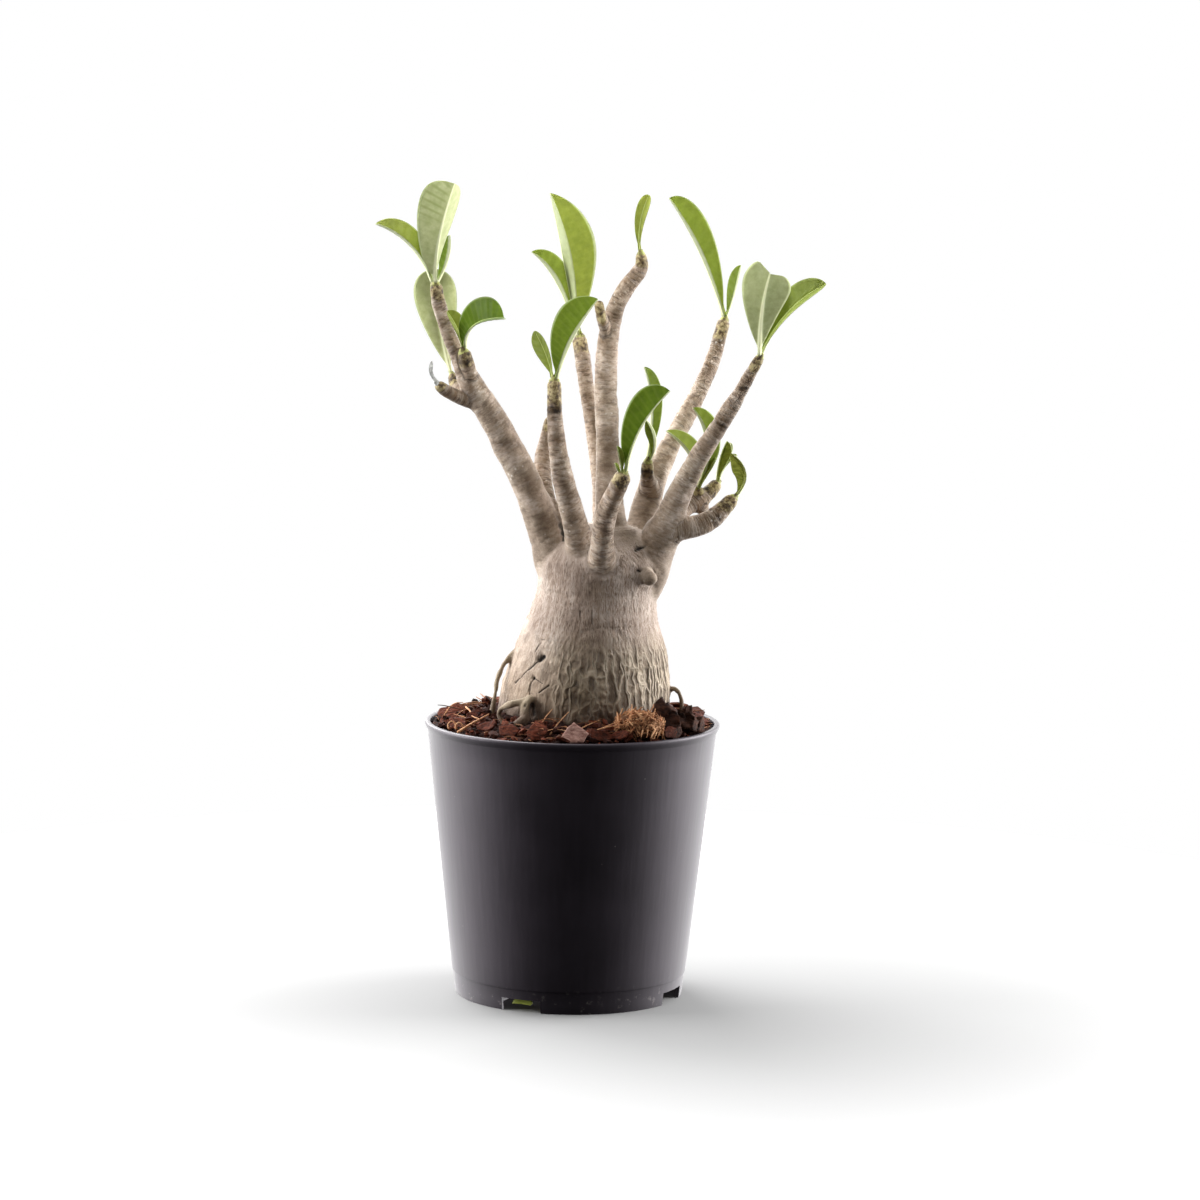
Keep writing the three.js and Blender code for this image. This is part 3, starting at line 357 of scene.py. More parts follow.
def tubes(paths, sides):
    """Closed tubes. paths holds x, y, z, radius for each tube and ring. A ring is the circle square to its
    path, and each end has a pole half a radius further out."""
    count, rings = paths.shape[:2]
    centre, radius = paths[..., :3], paths[..., 3:]
    along = unit(np.gradient(centre, axis=1))
    chord = np.abs(centre[:, -1] - centre[:, 0])
    aside = unit(np.cross(along, np.eye(3)[chord.argmin(axis=1)][:, None]))
    up = np.cross(aside, along)
    angle = np.arange(sides) * 2 * math.pi / sides
    circle = np.cos(angle)[:, None] * aside[:, :, None] + np.sin(angle)[:, None] * up[:, :, None]
    walls = centre[:, :, None] + radius[:, :, None] * circle
    poles = np.stack([centre[:, 0] - along[:, 0] * radius[:, 0] * 0.5,
                      centre[:, -1] + along[:, -1] * radius[:, -1] * 0.5], axis=1)
    points = np.concatenate([walls.reshape(count, -1, 3), poles], axis=1)
    # Seen along its path a tube's ring runs the other way round, so its faces do too
    quads, caps = ring_faces(rings, sides)
    quads, caps = quads[:, [0, 3, 2, 1]], caps[:, [1, 0, 2]]
    start = (np.arange(count) * (rings * sides + 2))[:, None, None]
    return points.reshape(-1, 3), [(quads + start).reshape(-1, 4), (caps + start).reshape(-1, 3)]


def turned(profile, sides):
    """A profile of radius and height turned about the axis. It starts and ends in one point on the axis."""
    profile = np.array(profile, float)
    angle = np.arange(sides) * 2 * math.pi / sides
    ring = profile[1:-1]
    walls = np.stack([ring[:, :1] * np.cos(angle), ring[:, :1] * np.sin(angle),
                      np.repeat(ring[:, 1:], sides, axis=1)], axis=-1)
    poles = np.array([[0, 0, profile[0, 1]], [0, 0, profile[-1, 1]]])
    return np.vstack([walls.reshape(-1, 3), poles]), ring_faces(len(ring), sides)


def together(parts):
    """Several sets of points and faces as one."""
    start = np.cumsum([0] + [len(points) for points, _ in parts])
    faces = [face + offset for (_, lists), offset in zip(parts, start) for face in lists]
    return np.vstack([points for points, _ in parts]), faces


def new_piece(name, points, faces, finishes, choice=None, values=None, smooth=True):
    """Links an object at the origin. points are in millimetres, faces are arrays of point numbers, choice
    gives the finish of each face and values holds named numbers for each point, read by the finishes."""
    mesh = bpy.data.meshes.new(name)
    corners = np.concatenate([face.ravel() for face in faces])
    sizes = np.concatenate([np.full(len(face), face.shape[1]) for face in faces])
    mesh.vertices.add(len(points))
    mesh.vertices.foreach_set("co", (points * MM + POT_AXIS).ravel())
    mesh.loops.add(len(corners))
    mesh.loops.foreach_set("vertex_index", corners)
    mesh.polygons.add(len(sizes))
    mesh.polygons.foreach_set("loop_start", np.cumsum(sizes) - sizes)
    if choice is not None:
        mesh.polygons.foreach_set("material_index", choice)
    mesh.polygons.foreach_set("use_smooth", np.full(len(sizes), smooth))
    mesh.update(calc_edges=True)
    for finish in finishes:
        mesh.materials.append(finish)
    give_values(mesh, values or {})
    piece = bpy.data.objects.new(name, mesh)
    bpy.context.scene.collection.objects.link(piece)
    return piece


def give_values(mesh, values):
    """Gives each point of the mesh its named numbers."""
    for name, numbers in values.items():
        mesh.attributes.new(name, "FLOAT", "POINT").data.foreach_set("value", numbers.astype(np.float32))


def settle(piece):
    """Keeps the mesh that the piece's modifiers make, and drops the modifiers."""
    graph = bpy.context.evaluated_depsgraph_get()
    mesh = bpy.data.meshes.new_from_object(piece.evaluated_get(graph))
    piece.modifiers.clear()
    piece.data = mesh


def stands(piece, slot, *nodes):
    """The piece rides on the one body and stands for the nodes, which it hides. The slot is not used."""
    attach(piece, "root")
    if nodes:
        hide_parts(*nodes)


# Finishes


def colour(code):
    """Linear RGBA of an sRGB hex code."""
    parts = [int(code[k:k + 2], 16) / 255 for k in (1, 3, 5)]
    return [c / 12.92 if c <= 0.04045 else ((c + 0.055) / 1.055) ** 2.4 for c in parts] + [1.0]


def add(tree, kind, inputs=None, out=0, stops=None, **settings):
    """Adds a node, sets its settings, fills its inputs with values or links, and returns one output."""
    made = tree.nodes.new("ShaderNode" + kind)
    for key, value in settings.items():
        setattr(made, key, value)
    for key, value in (inputs or {}).items():
        if isinstance(value, bpy.types.NodeSocket):
            tree.links.new(value, made.inputs[key])
        else:
            made.inputs[key].default_value = value
    if stops:
        while len(made.color_ramp.elements) < len(stops):
            made.color_ramp.elements.new(0.5)
        for element, (place, code) in zip(made.color_ramp.elements, stops):
            element.position = place
            element.color = colour(code)
    return made.outputs[out]


def new_finish(name, roughness, ior=1.5):
    """A material with one Principled surface at that roughness and index of refraction."""
    finish = bpy.data.materials.new(name)
    finish.use_nodes = True
    tree = finish.node_tree
    surface = next(node for node in tree.nodes if node.type == "BSDF_PRINCIPLED")
    surface.inputs["Roughness"].default_value = roughness
    surface.inputs["IOR"].default_value = ior
    return finish, tree, surface


def join(tree, output, surface, key):
    """Links an output to the surface's input of that name."""
    tree.links.new(output, surface.inputs[key])


def moulded_polypropylene():
    """Black nursery-pot polypropylene, injection moulded with carbon black: a satin charcoal, drawn into
    faint upright streaks by the flow, with dust specks and pale scuffs near the foot."""
    finish, tree, surface = new_finish("moulded_polypropylene", 0.42, 1.49)
    surface.inputs["Specular Tint"].default_value = colour("#fff4ff")
    place = add(tree, "TexCoord", out="Object")
    upright = add(tree, "Mapping", {"Vector": place, "Scale": (420, 420, 14)})
    streak = add(tree, "TexNoise", {"Vector": upright, "Scale": 1.0, "Detail": 3.0})
    cloud = add(tree, "TexNoise", {"Vector": place, "Scale": 38.0, "Detail": 3.0})
    tint = add(tree, "ValToRGB", {"Fac": streak}, stops=[(0.3, "#201b21"), (0.75, "#2b262d")])
    dull = add(tree, "ValToRGB", {"Fac": cloud}, stops=[(0.35, "#1a171c"), (0.7, "#2f2a31")])
    base = add(tree, "Mix", {0: 0.45, 6: tint, 7: dull}, out=2, data_type="RGBA")
    specks = add(tree, "TexVoronoi", {"Vector": place, "Scale": 210.0, "Randomness": 1.0})
    dust = add(tree, "ValToRGB", {"Fac": specks}, stops=[(0.0, "#ffffff"), (0.075, "#000000")])
    rare = add(tree, "TexNoise", {"Vector": place, "Scale": 90.0, "Detail": 1.0})
    where = add(tree, "MapRange", {"Value": rare, "From Min": 0.58, "From Max": 0.68})
    amount = add(tree, "Math", {0: dust, 1: where}, operation="MULTIPLY")
    height = add(tree, "SeparateXYZ", {"Vector": place}, out=2)
    low = add(tree, "MapRange", {"Value": height, "From Min": 0.012, "From Max": 0.0})
    scuff_grain = add(tree, "TexNoise", {"Vector": place, "Scale": 300.0, "Detail": 4.0, "Roughness": 0.7})
    scuffs = add(tree, "MapRange", {"Value": scuff_grain, "From Min": 0.6, "From Max": 0.72})
    worn = add(tree, "Math", {0: scuffs, 1: low}, operation="MULTIPLY")
    marked = add(tree, "Math", {0: amount, 1: worn}, operation="ADD", use_clamp=True)
    shown = add(tree, "Mix", {0: marked, 6: base, 7: colour("#77726f")}, out=2, data_type="RGBA")
    join(tree, shown, surface, "Base Color")
    join(tree, add(tree, "MapRange", {"Value": cloud, "To Min": 0.4, "To Max": 0.5}), surface, "Roughness")
    join(tree, add(tree, "Bump", {"Height": streak, "Strength": 0.12, "Distance": 0.0004}), surface, "Normal")
    return finish


def living_adenium_bark():
    """Living desert rose bark: a thin tight grey-beige skin, nearly matt. The caudex is scored by fine
    upright grain and low down by wavy cords. The branches carry rings and leaf scars, and their tips are
    olive and brown. Shade is painted into the slits, the hollows between the cords, the caudex's front and
    the forks, and some highlight onto the cords' crests."""
    finish, tree, surface = new_finish("living_adenium_bark", 0.62, 1.45)
    surface.inputs["Specular IOR Level"].default_value = 0.25
    surface.inputs["Sheen Weight"].default_value = 0.12
    place = add(tree, "TexCoord", out="Object")
    tip, along, trunk, root, cord, crack_shade, band, green, brown = (
        add(tree, "Attribute", out="Fac", attribute_name=name)
        for name in ("tip", "along", "trunk", "root", "cord", "crack_shade", "band", "green", "brown"))
    x, y, z = (add(tree, "SeparateXYZ", {"Vector": place}, out=axis) for axis in range(3))
    patch = add(tree, "TexNoise", {"Vector": place, "Scale": 70.0, "Detail": 4.0, "Roughness": 0.6})
    skin = add(tree, "ValToRGB", {"Fac": patch}, stops=[(0.3, "#b4a499"), (0.5, "#c9baaf"), (0.7, "#dfd3ca")])
    # Places round the caudex as a direction from its axis, so that grain and cords follow its swelling
    centred = add(tree, "VectorMath", {0: place, 1: (*(POT_AXIS[:2] + (CAUDEX_AXIS * MM, 0)), 0)},
                  operation="SUBTRACT")
    level = add(tree, "VectorMath", {0: centred, 1: (1, 1, 0)}, operation="MULTIPLY")
    spoke = add(tree, "VectorMath", {0: level}, operation="NORMALIZE")
    spokes = [add(tree, "SeparateXYZ", {"Vector": spoke}, out=axis) for axis in (0, 1)]
    round_x, round_y = (add(tree, "Math", {0: part, 1: 46.0}, operation="MULTIPLY") for part in spokes)
    climb = add(tree, "Math", {0: z, 1: 270.0}, operation="MULTIPLY")
    # Upright grain, about 0.7 mm wide and 5 mm long
    grain_place = add(tree, "CombineXYZ", {0: round_x, 1: round_y, 2: climb})
    grain = add(tree, "TexNoise", {"Vector": grain_place, "Scale": 1.0, "Detail": 4.0, "Roughness": 0.65,
                                   "Distortion": 1.8})
    grain_tint = add(tree, "ValToRGB", {"Fac": grain}, stops=[(0.32, "#8a7a6c"), (0.42, "#c9bdb2"),
                                                              (0.52, "#f2eeea"), (0.62, "#ffffff")])
    low_down = add(tree, "MapRange", {"Value": z, "From Min": 0.196, "From Max": 0.176})
    scored = add(tree, "Math", {0: trunk, 1: low_down}, operation="MULTIPLY")
    grained = add(tree, "Mix", {0: scored, 6: skin, 7: grain_tint}, out=2, data_type="RGBA",
                  blend_type="MULTIPLY")
    # Long soft streaks down the caudex, about 3 mm wide
    streak_x, streak_y = (add(tree, "Math", {0: part, 1: 11.0}, operation="MULTIPLY") for part in spokes)
    streak_z = add(tree, "Math", {0: z, 1: 32.0}, operation="MULTIPLY")
    streak_place = add(tree, "CombineXYZ", {0: streak_x, 1: streak_y, 2: streak_z})
    streak = add(tree, "TexNoise", {"Vector": streak_place, "Scale": 1.0, "Detail": 4.0, "Roughness": 0.6})
    streak_tint = add(tree, "ValToRGB", {"Fac": streak},
                      stops=[(0.34, "#e4ddd7"), (0.5, "#f8f5f2"), (0.6, "#ffffff")])
    streaked = add(tree, "Mix", {0: scored, 6: grained, 7: streak_tint}, out=2, data_type="RGBA",
                   blend_type="MULTIPLY")
    # The oldest skin, low down, is a little browner
    age = add(tree, "MapRange", {"Value": z, "From Min": 0.152, "From Max": 0.128})
    streaked = add(tree, "Mix", {0: age, 6: streaked, 7: colour("#ded6c9")}, out=2, data_type="RGBA",
                   blend_type="MULTIPLY")
    # Cords: the walls between drawn-out cells, 3 mm wide and 16 mm tall, stand up in a net of wavy ridges
    net_x, net_y = (add(tree, "Math", {0: part, 1: 11.5}, operation="MULTIPLY") for part in spokes)
    net_z = add(tree, "Math", {0: z, 1: 62.0}, operation="MULTIPLY")
    net_place = add(tree, "CombineXYZ", {0: net_x, 1: net_y, 2: net_z})
    sway = add(tree, "TexNoise", {"Vector": place, "Scale": 170.0, "Detail": 2.0}, out="Color")
    swayed = add(tree, "VectorMath", {0: sway, 1: (1.3, 1.3, 1.3), 2: net_place}, operation="MULTIPLY_ADD")
    net = add(tree, "TexVoronoi", {"Vector": swayed, "Scale": 1.0}, feature="DISTANCE_TO_EDGE")
    fading = add(tree, "MapRange", {"Value": patch, "From Min": 0.34, "From Max": 0.5, "To Min": 0.6})
    cord_amount = add(tree, "Math", {0: cord, 1: fading}, operation="MULTIPLY")
    # The hollows between the cords are browner and darkened by painted shade, and the crests are paler skin
    # with painted highlight
    furrow_shade = add(tree, "MapRange", {"Value": net, "From Min": 0.07, "From Max": 0.3, "To Max": 0.8},
                 interpolation_type="SMOOTHSTEP")
    furrow_shade_amount = add(tree, "Math", {0: furrow_shade, 1: cord_amount}, operation="MULTIPLY")
    crest_highlight = add(tree, "MapRange", {"Value": net, "From Min": 0.12, "From Max": 0.02, "To Max": 0.8})
    crest_highlight_amount = add(tree, "Math", {0: crest_highlight, 1: cord_amount}, operation="MULTIPLY")
    aged = add(tree, "Mix", {0: cord_amount, 6: streaked, 7: colour("#a8967f")}, out=2, data_type="RGBA")
    crest_highlighted = add(tree, "Mix", {0: crest_highlight_amount, 6: aged, 7: colour("#d3c3ae")}, out=2, data_type="RGBA")
    furrow_shaded = add(tree, "Mix", {0: furrow_shade_amount, 6: crest_highlighted, 7: colour("#574634")}, out=2, data_type="RGBA")
    # A brown weathered film on the branches and where they meet, in patches of 3 to 10 mm. The brown places
    # also paint shade on the caudex's front and between the branches
    bare = add(tree, "Math", {0: 1.0, 1: trunk}, operation="SUBTRACT")
    weather_and_shade = add(tree, "TexNoise", {"Vector": place, "Scale": 110.0, "Detail": 6.0, "Roughness": 0.68})
    weather_and_shade = add(tree, "Math", {0: brown, 1: 0.1, 2: weather_and_shade}, operation="MULTIPLY_ADD")
    near_tip = add(tree, "MapRange", {"Value": tip, "From Min": 48.0, "From Max": 10.0, "To Max": 0.09})
    weather_and_shade = add(tree, "Math", {0: weather_and_shade, 1: near_tip}, operation="ADD")
    film_and_shade_tint = add(tree, "ValToRGB", {"Fac": weather_and_shade}, stops=[(0.38, "#f6f5f1"), (0.48, "#d8d3c9"),
                                                               (0.57, "#bcb5a8"), (0.68, "#a1988a")])
    film_and_shade_place = add(tree, "Math", {0: bare, 1: brown}, operation="MAXIMUM")
    filmed_and_shaded = add(tree, "Mix", {0: film_and_shade_place, 6: furrow_shaded, 7: film_and_shade_tint}, out=2, data_type="RGBA",
                 blend_type="MULTIPLY")
    # Ring scars of the branches, 1.3 mm apart, broken round the stem and strongest on young wood
    stem_x, stem_y = (add(tree, "Math", {0: part, 1: 260.0}, operation="MULTIPLY") for part in (x, y))
    step = add(tree, "Math", {0: along, 1: 0.75}, operation="MULTIPLY")
    ring_place = add(tree, "CombineXYZ", {0: step, 1: stem_x, 2: stem_y})
    ring = add(tree, "TexNoise", {"Vector": ring_place, "Scale": 1.0, "Detail": 3.0, "Roughness": 0.65})
    ring_tint = add(tree, "ValToRGB", {"Fac": ring}, stops=[(0.36, "#ffffff"), (0.5, "#f0e8e0"),
                                                            (0.58, "#b8a797"), (0.66, "#6e5b4b")])
    youth = add(tree, "MapRange",
                {"Value": tip, "From Min": 80.0, "From Max": 25.0, "To Min": 0.35, "To Max": 0.75})
    ring_amount = add(tree, "Math", {0: bare, 1: youth}, operation="MULTIPLY")
    ringed = add(tree, "Mix", {0: ring_amount, 6: filmed_and_shaded, 7: ring_tint}, out=2, data_type="RGBA",
                 blend_type="MULTIPLY")
    # Leaf scars: short brown dashes across the stem, about 3 mm wide, each under a pale lip
    scar_step = add(tree, "Math", {0: along, 1: 0.62}, operation="MULTIPLY")
    scar_x, scar_y = (add(tree, "Math", {0: part, 1: 190.0}, operation="MULTIPLY") for part in (x, y))
    scar_place = add(tree, "CombineXYZ", {0: scar_step, 1: scar_x, 2: scar_y})
    scar_sway = add(tree, "TexNoise", {"Vector": place, "Scale": 420.0, "Detail": 2.0}, out="Color")
    scar_place = add(tree, "VectorMath", {0: scar_sway, 1: (0.5, 0.5, 0.5), 2: scar_place},
                     operation="MULTIPLY_ADD")
    scar_cells = add(tree, "TexVoronoi", {"Vector": scar_place, "Scale": 1.0})
    scar_pick = add(tree, "TexVoronoi", {"Vector": scar_place, "Scale": 1.0}, out="Color")
    kept = add(tree, "Math", {0: scar_pick, 1: 0.45}, operation="GREATER_THAN")
    dot = add(tree, "MapRange", {"Value": scar_cells, "From Min": 0.34, "From Max": 0.12, "To Max": 0.6})
    lip = add(tree, "MapRange", {"Value": scar_cells, "From Min": 0.6, "From Max": 0.36, "To Max": 0.2})
    scarred_wood = add(tree, "MapRange", {"Value": tip, "From Min": 105.0, "From Max": 60.0})
    shown = add(tree, "Math", {0: scarred_wood, 1: kept}, operation="MULTIPLY")
    shown = add(tree, "Math", {0: shown, 1: bare}, operation="MULTIPLY")
    dot_amount = add(tree, "Math", {0: dot, 1: shown}, operation="MULTIPLY")
    lip_amount = add(tree, "Math", {0: lip, 1: shown}, operation="MULTIPLY")
    lipped = add(tree, "Mix", {0: lip_amount, 6: ringed, 7: colour("#dbd1c7")}, out=2, data_type="RGBA")
    dotted = add(tree, "Mix", {0: dot_amount, 6: lipped, 7: colour("#6f5944")}, out=2, data_type="RGBA")
    # Brown weathered patches of 4 to 6 mm, more of them towards the tips
    blotch = add(tree, "TexNoise", {"Vector": place, "Scale": 190.0, "Detail": 4.0, "Roughness": 0.62})
    need = add(tree, "MapRange",
               {"Value": tip, "From Min": 8.0, "From Max": 60.0, "To Min": 0.53, "To Max": 0.66})
    over = add(tree, "Math", {0: blotch, 1: need}, operation="SUBTRACT")
    blotch_amount = add(tree, "MapRange", {"Value": over, "From Min": 0.0, "From Max": 0.08, "To Max": 0.6})
    blotch_amount = add(tree, "Math", {0: blotch_amount, 1: bare}, operation="MULTIPLY")
    blotched = add(tree, "Mix", {0: blotch_amount, 6: dotted, 7: colour("#7a6249")}, out=2, data_type="RGBA")
    # Pale corky flecks, about 0.6 mm across
    fleck_cells = add(tree, "TexVoronoi", {"Vector": place, "Scale": 430.0})
    fleck = add(tree, "MapRange", {"Value": fleck_cells, "From Min": 0.24, "From Max": 0.15, "To Max": 0.6})
    fleck_where = add(tree, "MapRange", {"Value": patch, "From Min": 0.57, "From Max": 0.63})
    fleck_amount = add(tree, "Math", {0: fleck, 1: fleck_where}, operation="MULTIPLY")
    fleck_amount = add(tree, "Math", {0: fleck_amount, 1: bare}, operation="MULTIPLY")
    flecked = add(tree, "Mix", {0: fleck_amount, 6: blotched, 7: colour("#e4dbd0")}, out=2, data_type="RGBA")
    rooted_amount = add(tree, "Math", {0: root, 1: 0.75}, operation="MULTIPLY")
    rooted = add(tree, "Mix", {0: rooted_amount, 6: flecked, 7: colour("#93846b")}, out=2, data_type="RGBA")
    # Damp soil stains the lowest 5 mm
    stain_top = add(tree, "Math", {0: patch, 1: -0.022, 2: z}, operation="MULTIPLY_ADD")
    stain = add(tree, "MapRange",
                {"Value": stain_top, "From Min": 0.1135, "From Max": 0.1065, "To Max": 0.85})
    rooted = add(tree, "Mix", {0: stain, 6: rooted, 7: colour("#4b3526")}, out=2, data_type="RGBA")
    # Olive and dark brown skin of the youngest wood
    reach = add(tree, "Math", {0: blotch, 1: 1.9, 2: green}, operation="MULTIPLY_ADD")
    young = add(tree, "MapRange", {"Value": reach, "From Min": 1.0, "From Max": 1.35, "To Max": 0.9},
                interpolation_type="SMOOTHSTEP")
    moss = add(tree, "TexNoise", {"Vector": place, "Scale": 520.0, "Detail": 3.0, "Roughness": 0.6})
    young_tint = add(tree, "ValToRGB", {"Fac": moss},
                     stops=[(0.38, "#3d2f1f"), (0.48, "#7a6845"), (0.6, "#aa9c72")])
    tipped = add(tree, "Mix", {0: young, 6: rooted, 7: young_tint}, out=2, data_type="RGBA")
    band_tint = add(tree, "ValToRGB", {"Fac": moss}, stops=[(0.38, "#1e150d"), (0.6, "#54412b")])
    banded = add(tree, "Mix", {0: band, 6: tipped, 7: band_tint}, out=2, data_type="RGBA")
    # Painted shade darkens the slits, pits and crevices
    crack_shaded = add(tree, "Mix", {0: crack_shade, 6: banded, 7: colour("#1c150e")}, out=2, data_type="RGBA")
    join(tree, crack_shaded, surface, "Base Color")
    join(tree, add(tree, "MapRange", {"Value": patch, "To Min": 0.55, "To Max": 0.75}), surface, "Roughness")
    fine = add(tree, "TexNoise", {"Vector": place, "Scale": 1500.0, "Detail": 2.0})
    soft = add(tree, "Bump", {"Height": fine, "Strength": 0.25, "Distance": 0.0003})
    grain_depth = add(tree, "Math", {0: grain, 1: scored}, operation="MULTIPLY")
    lined = add(tree, "Bump", {"Height": grain_depth, "Strength": 0.9, "Distance": 0.0008, "Normal": soft})
    hollow = add(tree, "Math", {0: net, 1: 0.32}, operation="MINIMUM")
    cord_depth = add(tree, "Math", {0: hollow, 1: cord_amount}, operation="MULTIPLY")
    corded = add(tree, "Bump", {"Height": cord_depth, "Strength": 1.0, "Distance": 0.004, "Normal": lined},
                 invert=True)
    ring_depth = add(tree, "Math", {0: ring, 1: ring_amount}, operation="MULTIPLY")
    rippled = add(tree, "Bump", {"Height": ring_depth, "Strength": 0.8, "Distance": 0.0012, "Normal": corded},
                  invert=True)
    scarred = add(tree, "Bump",
                  {"Height": lip_amount, "Strength": 0.8, "Distance": 0.0006, "Normal": rippled})
    join(tree, scarred, surface, "Normal")
    return finish


def leaf_finish(name, roughness, dark, light, rib, vein_strength, vein_tint):
    """A leaf face: its tone mixes two greens, with a pale midrib and slanting side veins."""
    finish, tree, surface = new_finish(name, roughness, 1.45)
    surface.inputs["Specular IOR Level"].default_value = 0.22
    surface.inputs["Sheen Weight"].default_value = 0.08
    place = add(tree, "TexCoord", out="Object")
    tone, midrib, vein, edge, veining = (
        add(tree, "Attribute", out="Fac", attribute_name=key)
        for key in ("tone", "midrib", "vein", "edge", "veining"))
    green = add(tree, "Mix", {0: tone, 6: colour(dark), 7: colour(light)}, out=2, data_type="RGBA")
    mottle = add(tree, "TexNoise", {"Vector": place, "Scale": 330.0, "Detail": 4.0, "Roughness": 0.65})
    shade = add(tree, "ValToRGB", {"Fac": mottle}, stops=[(0.3, "#cdd0bb"), (0.7, "#ffffff")])
    mottled = add(tree, "Mix", {0: 0.8, 6: green, 7: shade}, out=2, data_type="RGBA", blend_type="MULTIPLY")
    turn = add(tree, "Math", {0: vein, 1: 2 * math.pi}, operation="MULTIPLY")
    wave = add(tree, "Math", {0: turn}, operation="SINE")
    line = add(tree, "MapRange", {"Value": wave, "From Min": 0.1, "From Max": 1.0, "To Max": vein_strength})
    line = add(tree, "Math", {0: line, 1: veining}, operation="MULTIPLY", use_clamp=True)
    veined = add(tree, "Mix", {0: line, 6: mottled, 7: colour(vein_tint)}, out=2, data_type="RGBA")
    rib_line = add(tree, "MapRange", {"Value": midrib, "From Min": 1.25, "From Max": 0.75})
    ribbed = add(tree, "Mix", {0: rib_line, 6: veined, 7: colour(rib)}, out=2, data_type="RGBA")
    margin = add(tree, "MapRange", {"Value": edge, "From Min": 0.9, "From Max": 1.0, "To Max": 0.6})
    edged = add(tree, "Mix", {0: margin, 6: ribbed, 7: colour("#828a68")}, out=2, data_type="RGBA")
    join(tree, edged, surface, "Base Color")
    surface.inputs["Subsurface Weight"].default_value = 0.1
    surface.inputs["Subsurface Radius"].default_value = (0.8, 0.9, 0.5)
    surface.inputs["Subsurface Scale"].default_value = 0.0006
    raised = add(tree, "Bump", {"Height": wave, "Strength": 0.2, "Distance": 0.00012})
    join(tree, add(tree, "Bump", {"Height": mottle, "Strength": 0.2, "Distance": 0.0003, "Normal": raised}),
         surface, "Normal")
    return finish


def waxy_leaf_upper():
    """Upper face of a fleshy young leaf: green under a waxy cuticle, so it keeps a soft gloss."""
    return leaf_finish("waxy_leaf_upper", 0.45, "#577306", "#97a044", "#bcc680", 0.14, "#96a352")


def pale_leaf_underside():
    """Underside of a leaf: pale grey-green and dull, with its midrib standing out lighter."""
    return leaf_finish("pale_leaf_underside", 0.6, "#8c9466", "#c8ce99", "#dfe2b8", 0.12, "#909a5a")


def young_leaf_base():
    """The swollen base of a tuft, where leaf stalks meet: olive skin that browns as it turns to bark."""
    finish, tree, surface = new_finish("young_leaf_base", 0.6, 1.45)
    place = add(tree, "TexCoord", out="Object")
    moss = add(tree, "TexNoise", {"Vector": place, "Scale": 520.0, "Detail": 3.0, "Roughness": 0.6})
    tint = add(tree, "ValToRGB", {"Fac": moss},
               stops=[(0.36, "#4a3a1f"), (0.48, "#7d7a3c"), (0.62, "#a6aa62")])
    join(tree, tint, surface, "Base Color")
    join(tree, add(tree, "Bump", {"Height": moss, "Strength": 0.7, "Distance": 0.0005}), surface, "Normal")
    return finish


def dry_withered_leaf():
    """A dried leaf: papery, curled and silver grey."""
    finish, tree, surface = new_finish("dry_withered_leaf", 0.85, 1.45)
    place = add(tree, "TexCoord", out="Object")
    wrinkle = add(tree, "TexNoise", {"Vector": place, "Scale": 900.0, "Detail": 4.0})
    tint = add(tree, "ValToRGB", {"Fac": wrinkle}, stops=[(0.35, "#a3a39f"), (0.65, "#dcdcd8")])
    join(tree, tint, surface, "Base Color")
    join(tree, add(tree, "Bump", {"Height": wrinkle, "Strength": 0.8, "Distance": 0.0004}), surface, "Normal")
    return finish


def wood_scrap(name, dark, light, grain_scale, roughness=0.85):
    """Broken bark or fibre: two browns in streaks along the grain, dull and rough. The tone shifts both."""
    finish, tree, surface = new_finish(name, roughness, 1.45)
    surface.inputs["Specular IOR Level"].default_value = 0.2
    place = add(tree, "TexCoord", out="Object")
    tone = add(tree, "Attribute", out="Fac", attribute_name="tone")
    stretched = add(tree, "Mapping", {"Vector": place, "Scale": grain_scale, "Rotation": (0.3, 0.5, 0.4)})
    grain = add(tree, "TexNoise", {"Vector": stretched, "Scale": 1.0, "Detail": 5.0, "Roughness": 0.65})
    tint = add(tree, "ValToRGB", {"Fac": grain}, stops=[(0.32, dark), (0.68, light)])
    shade = add(tree, "ValToRGB", {"Fac": tone}, stops=[(0.0, "#5b5049"), (0.5, "#b9aaa0"), (1.0, "#ffffff")])
    shown = add(tree, "Mix", {0: 1.0, 6: tint, 7: shade}, out=2, data_type="RGBA", blend_type="MULTIPLY")
    join(tree, shown, surface, "Base Color")
    join(tree, add(tree, "Bump", {"Height": grain, "Strength": 0.9, "Distance": 0.0008}), surface, "Normal")
    return finish


def coir_and_bark_mix():
    """Potting mix of coconut coir and composted bark: dark red-brown crumbs with hardly any shine."""
    return wood_scrap("coir_and_bark_mix", "#1a0a06", "#5c2e1e", (700, 700, 700), 0.9)


def composted_bark_chips():
    """Chips of composted pine bark: red-brown plates with a paler broken edge."""
    return wood_scrap("composted_bark_chips", "#2c110a", "#914d34", (420, 900, 900))


def pine_bark_flake():
    """A weathered flake of pine bark: pinkish grey-brown and flat."""
    return wood_scrap("pine_bark_flake", "#80594f", "#c39c8f", (400, 900, 700))


def dark_pine_bark():
    """A thick chunk of pine bark, nearly black where it is damp."""
    return wood_scrap("dark_pine_bark", "#1f120c", "#624031", (380, 700, 700))


def coconut_fibre():
    """Retted coconut husk fibre: orange-brown, dry and slightly shiny along each strand."""
    return wood_scrap("coconut_fibre", "#b5734a", "#fac898", (900, 900, 900), 0.7)


